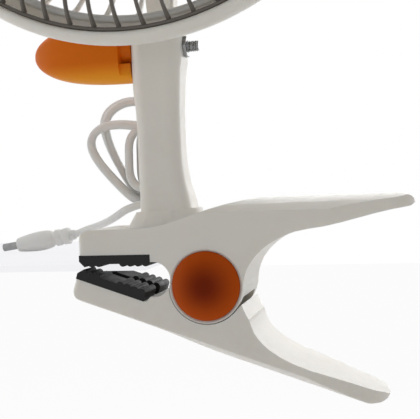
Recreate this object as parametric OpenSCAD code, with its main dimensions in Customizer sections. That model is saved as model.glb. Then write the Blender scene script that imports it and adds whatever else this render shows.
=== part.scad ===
// Clip-on camping fan: a caged fan head tilts on a post that stands on a sprung clamp.
// Origin: middle of the gripping face under the upper jaw. X runs from the jaws to the
// handles, the fan faces -Y, Z is up.

/* [Clamp] */
// Width of the clamp, across both side walls
clamp_w = 30; // [26:1:38]
// Pivot to the nose of the upper jaw
jaw_l = 45.8; // [42:0.2:52]
// Pivot to the middle of the gripping faces
grip_l = 33; // [31:0.5:35]
// Height of the upper gripping face above the pivot
grip_h = 7; // [6.5:0.1:8]
// Height of the upper jaw's back above the pivot
jaw_back_h = 20; // [19:0.5:22]
// Pivot to the tip of the upper handle
handle_l = 70; // [64:1:80]
// Pivot to the tip of the lower handle
lower_handle_l = 69; // [64:1:78]
// Height of the upper handle's back above the pivot
handle_h = 29.5; // [28:0.5:33]
// Thickness of the upper handle
handle_t = 10; // [8:0.5:11]
// Depth of the lower handle's back under the pivot, with the jaws parallel
lower_h = 23.2; // [21:0.2:24]
// Depth of the lower jaw's back under the pivot, with the jaws parallel
lower_jaw_h = 19.2; // [18.5:0.1:20.5]
// Depth of the lower gripping face under the pivot, with the jaws parallel
lower_grip_h = 7.9; // [7.5:0.1:8.5]
// Rise of the crowned back of each handle over its side edges
crown_h = 4.5; // [2:0.5:6]
// Angle between the jaws at rest, gripping a thin board
gape = 18.5; // [12:0.5:22]
// Radius of the round throat behind the pads
throat_r = 6.1; // [5:0.1:6.2]
// Thickness of each side wall at the pivot
ear_t = 3.5; // [3:0.1:4.5]
// Radius of the ear round the pivot
ear_r = 12.9; // [12.5:0.1:13.5]
// Radius of the pivot pin
pin_r = 3; // [2.5:0.1:4]
// Radius of the orange caps over the pivot
cap_r = 11.4; // [10:0.1:12]
// Height of the caps' dome over the clamp's side
cap_h = 4; // [3:0.5:6]

/* [Pads] */
// Length of a gripping pad
pad_l = 25.8; // [24:0.1:27]
// Height of a pad, teeth included
pad_h = 4.1; // [3.5:0.1:5]
// Width of one pad strip
pad_w = 12.5; // [9:0.5:13]
// Radius of a pad tooth
tooth_r = 1.35; // [1:0.05:1.5]
// Height of a tooth over the pad's face
tooth_h = 1; // [0.8:0.1:1.2]
// Spacing of the teeth
tooth_pitch = 2.75; // [2.4:0.05:3]

/* [Post] */
// Width of the post between its foot and its head
post_w = 17.2; // [15:0.2:19]
// Depth of the post, front to back
post_d = 17; // [14:0.5:18]
// Width of the fork at the post's top
fork_w = 20; // [19:0.5:22]
// Pivot to the post's middle, along the clamp
post_back = 16.5; // [15:0.5:18]
// Height of the tilt bolt above the pivot
tilt_h = 83.7; // [76:0.5:96]
// Width of the collar at the post's foot
collar_w = 28; // [26:0.5:29]
// Depth of the collar, front to back
collar_d = 25; // [22:0.5:28]
// Height of the collar's top above the pivot
collar_h = 25.9; // [25:0.1:27]
// Slope of the collar's top
collar_slope = 2.6; // [0:0.2:4]

/* [Tilt] */
// Radius of the tilt bolt
bolt_r = 2; // [1.5:0.1:2.5]
// Width across the tilt nut's flats
nut_af = 7; // [6:0.5:8]
// Thickness of the tilt nut
nut_t = 3.2; // [2.4:0.1:4]
// Thickness of the head's tongue in the fork
tongue_t = 8; // [6:0.5:9]
// Thickness of the friction washers on both sides of the tongue
washer_t = 0.8; // [0.5:0.1:1.2]
// Length of the tilt knob
knob_l = 38.6; // [28:0.2:42]
// Height of the tilt knob across its paddle
knob_h = 23.4; // [18:0.2:25]
// Thickness of the tilt knob across its paddle
knob_t = 15; // [12:0.5:18]

/* [Head] */
// Height of the fan's axis above the tilt bolt
head_rise = 85.2; // [84:0.2:92]
// Outer radius of the guard's rim
rim_r = 89.3; // [86:0.1:93]
// Distance of the rim's middle in front of the post
rim_front = 34.5; // [33:0.5:38]
// Radius of the rim's rounded section
rim_round = 6.8; // [6:0.1:8]
// Wall of the rim
rim_wall = 1.8; // [1.4:0.1:2.4]
// How far the front grille bulges
dome_h = 32; // [28:1:38]
// How far the rear guard bulges
rear_dome_h = 20; // [17:0.5:22]
// Number of ribs in the front grille, twice the number that reach the cap
front_ribs = 62; // [48:2:72]
// Number of ribs in the rear guard
rear_ribs = 44; // [32:4:60]
// Width of a front rib
rib_w = 1.3; // [1:0.1:1.8]
// Depth of a rib
rib_d = 2.2; // [1.6:0.1:3]
// How far each front rib passes beside the fan's axis, which gives the grille its swirl
rib_swirl = 22; // [14:1:23]
// Radius of the cap in the middle of the grille
grille_cap_r = 25; // [23:0.5:28]
// Radius of the ring where every second front rib ends
mid_ring_r = 52; // [46:1:60]

/* [Blade] */
// Number of blades
blade_count = 5; // [3:1:7]
// Radius at the blades' tips
blade_r = 71; // [60:0.5:74]
// Radius of the blades' hub
blade_hub_r = 17; // [14:0.5:20]
// Length of the blades' hub
blade_hub_l = 18; // [14:0.5:20]
// Thickness of a blade
blade_t = 1.8; // [1.2:0.1:2.6]

/* [Motor] */
// Radius of the motor
motor_r = 16; // [14:0.5:18]
// Length of the motor's can
motor_l = 26; // [22:0.5:28]
// Radius of the motor's shaft
shaft_r = 1.5; // [1:0.1:2]
// Outer radius of the motor's housing
housing_r = 30; // [27:0.5:33]
// Depth of the housing behind the rear guard
housing_l = 46; // [42:0.5:52]
// Wall of the housing
housing_wall = 2.2; // [1.8:0.1:3]
// Number of vents in the housing's cover
vents = 8; // [4:2:12]

/* [Cord] */
// Diameter of the cord
cord_d = 3.2; // [3:0.1:3.6]
// Width of the tied hank of cord
hank_w = 38; // [34:0.5:42]
// Height of the tied hank of cord
hank_h = 45.5; // [42:0.5:50]
// Thickness of the tied hank, front to back
hank_t = 21.6; // [18:0.2:25]

/* [Plug] */
// Radius of the plug's metal barrel
barrel_r = 1.75; // [1.6:0.05:2.2]
// Length of the plug's metal barrel
barrel_l = 7.5; // [6:0.5:9.5]
// Radius of the barrel's contact bore
contact_r = 0.68; // [0.6:0.02:0.8]
// Radius of the plug's grip at its fullest
plug_r = 4.4; // [4:0.1:5]
// Length of the plug's grip, between its collar and the barrel
plug_l = 18; // [15:0.5:24]

/* [Fits] */
// Radial clearance of a running fit
run_gap = 0.05; // [0.02:0.01:0.1]
// Clearance between neighbours that move past each other
move_gap = 0.3; // [0.2:0.05:0.5]
// Clearance round a screw's shank
screw_gap = 0.1; // [0.05:0.05:0.2]

/* [Hidden] */

shell_white = [0.93, 0.92, 0.88];
accent_orange = [0.93, 0.42, 0.06];
rubber_black = [0.06, 0.06, 0.06];
grille_grey = [0.28, 0.26, 0.23];
steel = [0.66, 0.66, 0.66];
brass = [0.78, 0.62, 0.3];

eps = 0.01;
half_w = clamp_w / 2;
pivot_x = grip_l;
pivot_z = -grip_h;
seat_h = grip_h + pad_h;
throat_x = -(ear_r - 0.5 + throat_r);
throat_z = 2.4;
pad_end = 0.5 + pad_l - jaw_l;
crown_r = (half_w * half_w + crown_h * crown_h) / (2 * crown_h);
inner_ear_r = 10.8;
inner_ear_t = 3.4;
post_x = pivot_x - post_back;
tilt_z = pivot_z + tilt_h;
fan_z = tilt_z + head_rise;
ring_z = rim_front + rim_round * sin(47);
ring_r = rim_r - rim_round + (rim_round - rim_wall) * cos(47) - move_gap;
rear_z = rim_front - rim_round * sin(60);
rear_r = rim_r - rim_round - rim_round * cos(60) * 0.6;

// ---- shared shapes -------------------------------------------------------------------

// Puts children whose axis system starts at the clamp's pivot
module at_pivot() translate([pivot_x, 0, pivot_z]) children();

// Puts children whose axis system starts at the tilt bolt
module at_tilt() translate([post_x, 0, tilt_z]) children();

// Puts children drawn round the fan's axis: local +Z points out of the front of the fan
module at_fan() translate([post_x, 0, fan_z]) rotate([90, 0, 0]) children();

// Turns parts of the lower jaw from jaws-parallel to their place at rest
module at_gape() at_pivot() rotate([0, gape, 0]) children();

// A side profile (x, z) made w wide across the clamp, centred
module across(w) rotate([90, 0, 0]) linear_extrude(w, center = true) children();

// A round bar along the clamp's width
module cross_bar(r, l) rotate([90, 0, 0]) cylinder(r = r, h = l, center = true, $fn = 48);

// A round bar along X from x0
module x_bar(r, x0, l) translate([x0, 0, 0]) rotate([0, 90, 0]) cylinder(r = r, h = l, $fn = 48);

function bezier(a, b, c, d, n) = [for (i = [0:n]) let (t = i / n, u = 1 - t)
    u * u * u * a + 3 * u * u * t * b + 3 * u * t * t * c + t * t * t * d];
function arc(c, r, a0, a1, n) = [for (i = [0:n]) let (a = a0 + (a1 - a0) * i / n)
    c + r * [cos(a), sin(a)]];

// Catmull-Rom curve through hand-chosen points, k steps between two of them
function spline(p, k) = concat([for (i = [0:len(p) - 2], j = [0:k - 1])
    let (a = p[max(i - 1, 0)], b = p[i], c = p[i + 1], d = p[min(i + 2, len(p) - 1)], t = j / k)
    0.5 * (2 * b + (c - a) * t + (2 * a - 5 * b + 4 * c - d) * t * t
        + (3 * b - a - 3 * c + d) * t * t * t)], [p[len(p) - 1]]);
function unit(v) = v / norm(v);
function heading(p, i) = unit(p[min(i + 1, len(p) - 1)] - p[max(i - 1, 0)]);
function square_to(n, t) = unit(n - (n * t) * t);
function carried(p, i, n) = i == len(p) ? []
    : let (m = square_to(n, heading(p, i))) concat([m], carried(p, i + 1, m));

// A round tube swept along the points p
module tube(p, r, sides = 8) {
    n = carried(p, 0, [0.1, 0.2, 1]);
    points = [for (i = [0:len(p) - 1], k = [0:sides - 1])
        let (a = 360 * k / sides, m = n[i], b = cross(heading(p, i), m))
        p[i] + r * (cos(a) * m + sin(a) * b)];
    walls = [for (i = [0:len(p) - 2], k = [0:sides - 1])
        let (a = i * sides + k, b = i * sides + (k + 1) % sides)
        [a, a + sides, b + sides, b]];
    polyhedron(points, concat([[for (k = [0:sides - 1]) k]], walls,
        [[for (k = [sides - 1:-1:0]) (len(p) - 1) * sides + k]]), convexity = 10);
}

// ---- clamp -----------------------------------------------------------------------------

nose_r = 4.5;
under_h = handle_h - handle_t;
function upper_outline() = concat(
    [[-jaw_l, seat_h]],
    arc([-jaw_l + nose_r, jaw_back_h - nose_r], nose_r, 180, 90, 6),
    bezier([-jaw_l * 0.56, jaw_back_h], [-jaw_l * 0.14, jaw_back_h],
        [0, handle_h], [handle_l * 0.36, handle_h], 10),
    bezier([handle_l * 0.86, handle_h], [handle_l * 0.96, handle_h],
        [handle_l, handle_h - 1], [handle_l, handle_h - 3.5], 5),
    bezier([handle_l - 1.5, handle_h - 4.6], [handle_l * 0.8, handle_h - 6],
        [handle_l * 0.66, under_h], [handle_l * 0.5, under_h - 1], 6),
    bezier([handle_l * 0.44, under_h - 1.8], [handle_l * 0.29, under_h - 5],
        [ear_r + 2.6, 8], [ear_r + 0.3, 0], 8),
    [[0, 0], [-ear_r * cos(14), ear_r * sin(14)], [throat_x, seat_h - 0.5],
     [pad_end, seat_h]]);

// Plan of a clamp half: square jaws, a handle that narrows to a round tip
module clamp_plan(tip_l) {
    tip_r = half_w * 0.66;
    corner_r = 2;
    translate([corner_r - jaw_l, -half_w]) square([jaw_l - corner_r + tip_l * 0.6, clamp_w]);
    translate([-jaw_l, corner_r - half_w]) square([jaw_l, clamp_w - 2 * corner_r]);
    for (s = [-1, 1]) translate([corner_r - jaw_l, s * (half_w - corner_r)]) circle(corner_r, $fn = 48);
    polygon([[tip_l * 0.6, -half_w], [tip_l - tip_r, -tip_r],
        [tip_l - tip_r, tip_r], [tip_l * 0.6, half_w]]);
    translate([tip_l - tip_r, 0]) circle(tip_r, $fn = 64);
}

module clamp_upper() color(shell_white) at_pivot() difference() {
    union() {
        intersection() {
            across(clamp_w) difference() {
                polygon(upper_outline());
                translate([throat_x, throat_z]) circle(throat_r, $fn = 48);
            }
            linear_extrude(handle_h * 3, center = true) clamp_plan(handle_l);
            translate([0, 0, handle_h - crown_r]) rotate([0, 90, 0])
                cylinder(r = crown_r, h = 4 * handle_l, center = true, $fn = 96);
        }
        cross_bar(ear_r, clamp_w);
        cross_bar(ear_r - 0.4, clamp_w + 2 * boss_t);
    }
    // room between the ears for the lower half's ears and the spring
    cross_bar(spring_room_r, clamp_w - 2 * ear_t);
    cross_bar(pin_r + run_gap, clamp_w + 4);
    // recess for each cap
    for (s = [-1, 1]) translate([0, s * (half_w + boss_t), 0]) cross_bar(cap_r + screw_gap, 2 * cap_sink);
    // socket for the post's spigot and hole for its screw
    translate([-post_back, 0, jaw_back_h - spigot_l - move_gap])
        cylinder(r = spigot_r + run_gap, h = handle_h, $fn = 48);
    translate([-post_back, half_w / 2 + spigot_r - 1, screw_z]) cross_bar(screw_r + screw_gap, half_w);
    translate([-post_back, half_w, screw_z]) cross_bar(screw_head_r + screw_gap, 2 * screw_head_t);
}

boss_t = 0.7;
cap_sink = 0.9;

// An oval made of two circles and a square, so that its edges stay round
module oval(w, d) {
    for (s = [-1, 1]) translate([s * (w - d) / 2, 0]) circle(d / 2, $fn = 64);
    square([w - d, d], center = true);
}

spigot_r = 6.5;
spigot_l = 6;
screw_r = 1.5;
screw_head_r = 2.8;
screw_head_t = 2;
screw_z = jaw_back_h - spigot_l + screw_head_r;

lower_seat = lower_grip_h + pad_h;
lower_in = lower_h - 7.2;
function lower_outline() = concat(
    [[-jaw_l, -lower_seat]],
    arc([-jaw_l + nose_r, -lower_jaw_h + nose_r], nose_r, 180, 270, 6),
    bezier([-jaw_l * 0.3, -lower_jaw_h], [0, -lower_jaw_h - 0.4],
        [lower_handle_l * 0.14, -lower_h], [lower_handle_l * 0.44, -lower_h], 8),
    bezier([lower_handle_l * 0.75, 0.4 - lower_h], [lower_handle_l * 0.95, 1.4 - lower_h],
        [lower_handle_l, 2.6 - lower_h], [lower_handle_l, 5.4 - lower_h], 5),
    [[lower_handle_l - 2, -lower_in - 0.8]],
    bezier([lower_handle_l * 0.6, -lower_in], [lower_handle_l * 0.36, -lower_in],
        [ear_r + 6, -10], [ear_r + 4.6, -6.2], 8),
    [[ear_r - 1, -6.4], [0, 0], [-ear_r - 0.6, -0.9], [throat_x, 0.5 - lower_seat],
     [pad_end, -lower_seat]]);

module clamp_lower() color(shell_white) at_gape() difference() {
    union() {
        difference() {
            intersection() {
                across(clamp_w) difference() {
                    polygon(lower_outline());
                    rotate(gape) translate([throat_x, throat_z]) circle(throat_r, $fn = 48);
                }
                linear_extrude(lower_h * 3, center = true) clamp_plan(lower_handle_l);
                translate([0, 0, crown_r - lower_h]) rotate([0, 90, 0])
                    cylinder(r = crown_r, h = 4 * handle_l, center = true, $fn = 96);
            }
            cross_bar(ear_r + move_gap, clamp_w + 4);
        }
        // inner ears, inside the upper half's side walls
        difference() {
            union() {
                cross_bar(inner_ear_r, clamp_w - 2 * ear_t - 2 * move_gap);
                across(clamp_w - 2 * ear_t - 2 * move_gap)
                    polygon([[0, 0], [-inner_ear_r * 0.92, -4], [-ear_r * 0.78, -lower_seat + 0.5],
                        [ear_r * 1.05, -lower_seat + 0.5], [inner_ear_r * 0.85, -7]]);
            }
            cross_bar(spring_room_r, clamp_w - 2 * ear_t - 2 * move_gap - 2 * inner_ear_t);
        }
    }
    cross_bar(pin_r + run_gap, clamp_w + 4);
}

// One gripping strip, teeth pointing down, from the nose end at x = 0
module pad_strip() across(pad_w) intersection() {
    union() {
        translate([0, tooth_h]) square([pad_l, pad_h - tooth_h]);
        for (i = [0:2]) translate([tooth_r + 0.5 + i * tooth_pitch, tooth_r]) circle(tooth_r, $fn = 24);
        for (i = [0:3]) translate([pad_l - tooth_r - i * tooth_pitch, tooth_r]) circle(tooth_r, $fn = 24);
    }
    // the nose end is chamfered
    polygon([[0, pad_h], [0, 2 * tooth_h], [2 * tooth_h, 0], [pad_l, 0], [pad_l, pad_h]]);
}

module upper_pads() color(rubber_black) at_pivot() for (s = [-1, 1])
    translate([-jaw_l + 0.3, s * (half_w - pad_w / 2), grip_h]) pad_strip();

module lower_pads() color(rubber_black) at_gape() for (s = [-1, 1])
    translate([-jaw_l + 0.3, s * (half_w - pad_w / 2), -lower_grip_h]) mirror([0, 0, 1]) pad_strip();

module pivot_pin() color(steel) at_pivot() difference() {
    cross_bar(pin_r, clamp_w + 2 * (boss_t - cap_sink));
    cross_bar(cap_stem_r + run_gap, clamp_w + 4);
}

cap_stem_r = 1.5;
cap_stem_l = 6;

// Domed cap with a stem that plugs the end of the pivot pin, drawn along +Z
module pivot_cap() {
    dome_ball = (cap_r * cap_r + cap_h * cap_h) / (2 * cap_h);
    rotate_extrude($fn = 96) intersection() {
        translate([0, cap_h - dome_ball]) circle(dome_ball, $fn = 128);
        square([cap_r, cap_h]);
    }
    translate([0, 0, -cap_stem_l]) cylinder(r = cap_stem_r, h = cap_stem_l + eps, $fn = 32);
}

module pivot_cap_front() color(accent_orange) at_pivot()
    translate([0, cap_sink - boss_t - half_w, 0]) rotate([90, 0, 0]) pivot_cap();

module pivot_cap_rear() color(accent_orange) at_pivot()
    translate([0, half_w + boss_t - cap_sink, 0]) rotate([-90, 0, 0]) pivot_cap();

spring_turns = 5;
spring_wire_r = 0.9;
spring_coil_r = pin_r + move_gap + spring_wire_r;
spring_room_r = ear_r + 0.6;
// Torsion spring round the pivot; one leg presses up into the upper half, one down into the lower
module clamp_spring() color(steel) at_pivot() {
    pitch = 2 * spring_wire_r + 0.15;
    first = 150;
    leg_l = sqrt(pow(spring_room_r - spring_wire_r - move_gap, 2) - spring_coil_r * spring_coil_r);
    leg = leg_l * [sin(first), 0, -cos(first)];
    coil = [for (i = [0:14 * spring_turns]) let (a = first - 360 * i / 14)
        [spring_coil_r * cos(a), (i / 14 - spring_turns / 2) * pitch, spring_coil_r * sin(a)]];
    tube(concat([coil[0] - leg], coil, [coil[len(coil) - 1] + leg]), spring_wire_r, 6);
}

// ---- post and tilt ---------------------------------------------------------------------

fork_top = 4.4;
// Levels of the post above the pivot, each with its width and depth
post_levels = [[collar_h - 0.5, post_w + 5.8, post_d + 4], [collar_h + 4, post_w + 1.8, post_d + 1.4],
    [collar_h + 11, post_w, post_d], [tilt_h - 10, post_w + 0.8, post_d],
    [tilt_h - 4.5, fork_w, post_d + 1], [tilt_h + fork_top, fork_w, post_d + 1]];
slot_w = tongue_t + 2 * washer_t + 0.2;
tongue_r = 8;
nut_r = nut_af / 2 / cos(30);
nut_sink = nut_t + 0.2;
bolt_end = fork_w / 2 + 3.8;

// A thin rounded slice of the post, with its top at the level
module post_slice(level) translate([-post_back, 0, level[0] - 1]) linear_extrude(1) {
    r = 4.5;
    square([level[1] - 2 * r, level[2]], center = true);
    square([level[1], level[2] - 2 * r], center = true);
    for (i = [-1, 1], j = [-1, 1])
        translate([i * (level[1] / 2 - r), j * (level[2] / 2 - r)]) circle(r, $fn = 32);
}

module post() color(shell_white) at_pivot() difference() {
    union() {
        for (i = [0:len(post_levels) - 2]) hull() {
            post_slice(post_levels[i]);
            post_slice(post_levels[i + 1]);
        }
        // collar: a sloping top, and an underside that sits on the clamp's back
        intersection() {
            translate([-post_back, 0, jaw_back_h - 1]) linear_extrude(collar_h) oval(collar_w, collar_d);
            translate([-post_back, 0, collar_h]) rotate([0, -collar_slope, 0])
                translate([0, 0, -collar_w]) cube(2 * collar_w, center = true);
        }
        translate([-post_back, 0, jaw_back_h - spigot_l]) cylinder(r = spigot_r, h = spigot_l + 5, $fn = 48);
    }
    difference() {
        across(clamp_w) polygon(upper_outline());
        translate([-post_back, 0, 0]) cylinder(r = spigot_r, h = handle_h, $fn = 48);
    }
    // slot for the head's tongue and its washers, bolt hole and pocket of the nut
    translate([-post_back, 0, tilt_h]) {
        translate([-slot_w / 2, -post_d, -tongue_r - move_gap]) cube([slot_w, 2 * post_d, 3 * tongue_r]);
        x_bar(bolt_r + run_gap, -fork_w, 2 * fork_w);
        translate([fork_w / 2 - nut_sink, 0, 0]) rotate([0, 90, 0])
            cylinder(r = nut_r + screw_gap, h = 10, $fn = 6);
    }
    // hole for the foot screw, and seat of the cord's grommet
    translate([-post_back, spigot_r, screw_z]) cross_bar(screw_r, 2 * spigot_r);
    translate([-post_back, post_d / 2 - grommet_sink, grommet_h]) rotate([-90, 0, 0])
        cylinder(r = grommet_r + run_gap, h = 10, $fn = 32);
}

module post_screw() color(steel) at_pivot() translate([-post_back, 0, screw_z]) {
    translate([0, half_w / 2 + 1, 0]) cross_bar(screw_r - 0.05, half_w - 2 - screw_head_t);
    translate([0, half_w - screw_head_t / 2 - 0.2, 0]) difference() {
        cross_bar(screw_head_r, screw_head_t - 0.4);
        for (a = [0, 90]) rotate([0, a, 0]) translate([0, 1, 0]) cube([0.8, 1.2, 4], center = true);
    }
}

module tilt_nut() color(steel) at_tilt() translate([fork_w / 2 - nut_sink, 0, 0]) rotate([0, 90, 0])
    difference() {
        cylinder(r = nut_r, h = nut_t, $fn = 6);
        translate([0, 0, -1]) cylinder(r = bolt_r + run_gap, h = nut_t + 2, $fn = 48);
    }

knob_gap = 0.3;
knob_skirt = 4;
knob_wall = 2;
knob_hub_r = 5;
bolt_in_knob = 14;
bolt_tip = 0.6;
module tilt_bolt() color(steel) at_tilt() {
    x_bar(bolt_r, -fork_w / 2 - bolt_in_knob, fork_w / 2 + bolt_in_knob + bolt_end - bolt_tip);
    translate([bolt_end - bolt_tip, 0, 0]) rotate([0, 90, 0])
        cylinder(r1 = bolt_r, r2 = bolt_r - bolt_tip, h = bolt_tip, $fn = 48);
}

// The knob's outline: share of its length from the post, and share of its full section there
knob_levels = [[0, 1], [0.3, 0.97], [0.57, 0.84], [0.82, 0.59], [0.95, 0.32], [0.99, 0.14]];

// Round-ended slot h long and t wide
module slot_shape(h, t) {
    square([h - t, t], center = true);
    for (s = [-1, 1]) translate([s * (h - t) / 2, 0]) circle(t / 2, $fn = 32);
}

module tilt_knob() color(accent_orange) at_tilt() translate([-fork_w / 2 - knob_gap, 0, 0]) difference() {
    hull() for (level = knob_levels) translate([-level[0] * knob_l, 0, 0]) rotate([0, -90, 0])
        linear_extrude(knob_l * 0.01) slot_shape(knob_h * level[1], knob_t * level[1]);
    // hollow behind the skirt, round the hub
    difference() {
        translate([-knob_skirt, 0, 0]) rotate([0, 90, 0]) linear_extrude(2 * knob_skirt)
            slot_shape(knob_h - 2 * knob_wall, knob_t - 2 * knob_wall);
        x_bar(knob_hub_r, -2 * knob_skirt, 4 * knob_skirt);
    }
    // the skirt is open in front, so that its hub shows
    translate([-knob_skirt, -knob_t, -knob_h])
        cube([2 * knob_skirt, knob_t / 2 + knob_wall + 0.1, 2 * knob_h]);
    x_bar(bolt_r, knob_gap - bolt_in_knob, 2 * bolt_in_knob);
}

module tilt_washers() color([0.3, 0.3, 0.3]) at_tilt() for (s = [-1, 1])
    translate([s * (tongue_t / 2 + 0.05 + washer_t / 2), 0, 0]) rotate([0, 90, 0]) difference() {
        cylinder(r = tongue_r - 1, h = washer_t, center = true, $fn = 48);
        cylinder(r = bolt_r + 0.15, h = washer_t + 1, center = true, $fn = 48);
    }

// ---- guard -----------------------------------------------------------------------------

// Height of the two domes over the plane of the post, at radius r from the fan's axis
// A dome is given as [radius, height, height of its edge], a rear one with a negative height
front_shape = [ring_r - 0.3, dome_h, ring_z - 1.5];
rear_shape = [rear_r + 0.3, -rear_dome_h, rear_z + 1.2];
function dome(shape, r) = shape[2] + shape[1] * pow(max(1 - pow(r / shape[0], 2.4), 0), 0.5);
function front_dome(r) = dome(front_shape, r);
function rear_dome(r) = dome(rear_shape, r);

// A straight rib under a dome, from radius r0 out to the dome's edge, passing e beside the axis
module rib(shape, r0, e, w, n) {
    d = rib_d;
    inner = [shape[0] - d, shape[1] - sign(shape[1]) * d, shape[2]];
    r = [for (i = [0:n]) r0 + (shape[0] - r0) * sin(90 * i / n)];
    k = inner[0] / shape[0];
    outline = concat([for (v = r) [sqrt(v * v - e * e), dome(shape, v)]],
        [for (i = [n:-1:0]) [sqrt(pow(r[i] * k, 2) - e * e), dome(inner, r[i] * k)]]);
    translate([0, e, 0]) rotate([90, 0, 0]) linear_extrude(w, center = true) polygon(outline);
}

module ring(r_in, r_out, z0, z1) translate([0, 0, z0]) difference() {
    cylinder(r = r_out, h = z1 - z0, $fn = 180);
    translate([0, 0, -1]) cylinder(r = r_in, h = z1 - z0 + 2, $fn = 180);
}

ring_w = 1.9;
cap_seat_z = front_dome(grille_cap_r);
clip_w = 9;
clip_l = 7;
module front_grille() color(grille_grey) at_fan() {
    ring(ring_r - ring_w, ring_r, ring_z - 3.2, ring_z + 0.8);
    ring(mid_ring_r - 0.9, mid_ring_r + 0.9, front_dome(mid_ring_r) - rib_d, front_dome(mid_ring_r));
    ring(grille_cap_r - 1.2, grille_cap_r + 1.2, cap_seat_z - rib_d, cap_seat_z + 0.3);
    for (i = [0:front_ribs - 1]) rotate(i * 360 / front_ribs)
        rib(front_shape, i % 2 == 0 ? grille_cap_r : mid_ring_r, rib_swirl, rib_w, 9);
    // clips that reach back inside the rim
    for (i = [0:3]) rotate(45 + i * 90) translate([ring_r - 1.2, -clip_w / 2, ring_z - clip_l])
        cube([1.4, clip_w, clip_l]);
    // seat of the cap
    translate([0, 0, cap_seat_z - rib_d]) cylinder(r = grille_cap_r - 0.8, h = rib_d - 1.2, $fn = 96);
}

module grille_cap() color(shell_white) at_fan() translate([0, 0, cap_seat_z - 1.2]) {
    dish = 2.6;
    r = grille_cap_r - 1.5;
    ball = (r * r + dish * dish) / (2 * dish);
    rotate_extrude($fn = 96) {
        square([r, 1]);
        intersection() {
            translate([0, 1 + dish - ball]) circle(ball, $fn = 180);
            translate([0, 1 - eps]) square([r, dish + 1]);
        }
    }
}

// Rounded C-section of the rim, from its front lip round the outside to the rear ring
module rim_section() {
    translate([rim_r - rim_round, rim_front]) difference() {
        circle(rim_round, $fn = 72);
        circle(rim_round - rim_wall, $fn = 72);
        polygon([[0, 0], 12 * [cos(47), sin(47)], [0, 14], [-14, 14], [-14, -8], 12 * [cos(240), sin(240)]]);
    }
}

guard_hub_r = 21;
guard_hub_z = rear_dome(guard_hub_r + 9);
guard_hub_t = 2.4;
module rear_guard() color(shell_white) at_fan() {
    rotate_extrude($fn = 180) rim_section();
    difference() {
        ring(guard_hub_r, guard_hub_r + 10, guard_hub_z, guard_hub_z + guard_hub_t);
        at_guard_screws() translate([0, 0, guard_hub_z - 1])
            cylinder(r = screw_r + screw_gap, h = 9, $fn = 24);
    }
    ring(mid_ring_r + 2, mid_ring_r + 4, rear_dome(mid_ring_r + 3), rear_dome(mid_ring_r + 3) + rib_d);
    ring(rear_r - 1.2, rear_r + 0.8, rear_z - 0.4, rear_z + 2);
    for (i = [0:rear_ribs - 1]) rotate(i * 360 / rear_ribs)
        rib(rear_shape, guard_hub_r + 9, 0, 1.5, 8);
}

// ---- housing ---------------------------------------------------------------------------

housing_front = guard_hub_z - 0.05;
split_z = housing_front - 18;
cover_back = housing_front - housing_l;
boss_r = 3.4;
boss_place = housing_r - housing_wall - boss_r + 0.4;

module at_guard_screws() for (a = [90, 210, 330]) rotate(a) translate([guard_hub_r + 4.5, 0, 0]) children();
module at_cover_screws() for (a = [0, 180]) rotate(a) translate([boss_place, 0, 0]) children();

neck_w = 17;
// Front view of the neck: straight up to just over the fork, then flaring to the housing
function neck_front() = let (half_t = tongue_t / 2, top = -motor_r - 2, start = -head_rise + fork_top + 3,
        flare = bezier([half_t, start], [half_t, start + 14], [neck_w / 2 - 1, -housing_r - 16],
            [neck_w / 2, -housing_r + 1], 8))
    concat([[-half_t, -head_rise], [half_t, -head_rise]], flare, [[neck_w / 2, top], [-neck_w / 2, top]],
        [for (i = [len(flare) - 1:-1:0]) [-flare[i][0], flare[i][1]]]);
// Side view of the neck, (z, y): its front leans back under the rear guard
function neck_side() = [[-tongue_r, -head_rise], [tongue_r, -head_rise], [tongue_r, -head_rise + 14],
    [tongue_r - 3, -housing_r - 12], [tongue_r - 1, -housing_r], [tongue_r - 1, 0], [split_z, 0],
    [split_z, -housing_r], [-tongue_r, -housing_r - 8]];

// Front half of the housing, with the neck whose tongue sits in the post's fork
module housing_base() color(shell_white) at_fan() {
    difference() {
        union() {
            translate([0, 0, split_z]) cylinder(r = housing_r, h = housing_front - split_z, $fn = 128);
            // neck, narrow at its tongue and wide under the motor
            intersection() {
                translate([0, 0, split_z]) linear_extrude(2 * housing_r) polygon(neck_front());
                rotate([0, -90, 0]) linear_extrude(housing_r, center = true) polygon(neck_side());
            }
            translate([0, -head_rise, 0]) rotate([0, 90, 0])
                cylinder(r = tongue_r, h = tongue_t, center = true, $fn = 64);
        }
        // room for the motor, open at the back
        translate([0, 0, split_z - 1])
            cylinder(r = housing_r - housing_wall, h = housing_front - split_z + 1 - front_wall, $fn = 128);
        translate([0, 0, split_z - 1]) cylinder(r = nose_hole_r, h = housing_l, $fn = 48);
        at_guard_screws() translate([0, 0, housing_front - 7]) cylinder(r = screw_r, h = 12, $fn = 24);
        translate([0, -head_rise, 0]) rotate([0, 90, 0])
            cylinder(r = bolt_r + 0.15, h = 2 * tongue_t, center = true, $fn = 48);
    }
    // seat that grips the motor
    difference() {
        translate([0, 0, motor_back])
            cylinder(r = motor_r + 3, h = housing_front - 1 - motor_back, $fn = 96);
        translate([0, 0, motor_back - 1])
            cylinder(r = motor_r + run_gap, h = housing_front - front_wall - motor_back + 1, $fn = 96);
        translate([0, 0, split_z - 1]) cylinder(r = nose_hole_r, h = housing_l, $fn = 48);
    }
    // bosses of the cover's screws
    at_cover_screws() difference() {
        translate([0, 0, split_z]) cylinder(r = boss_r, h = housing_front - split_z - 2, $fn = 32);
        translate([0, 0, split_z - 1]) cylinder(r = screw_r, h = 12, $fn = 24);
    }
}

front_wall = 3;
nose_hole_r = 6;
motor_front = housing_front - front_wall - 0.05;
motor_back = motor_front - motor_l + 10;
can_back = motor_front - motor_l;

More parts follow.
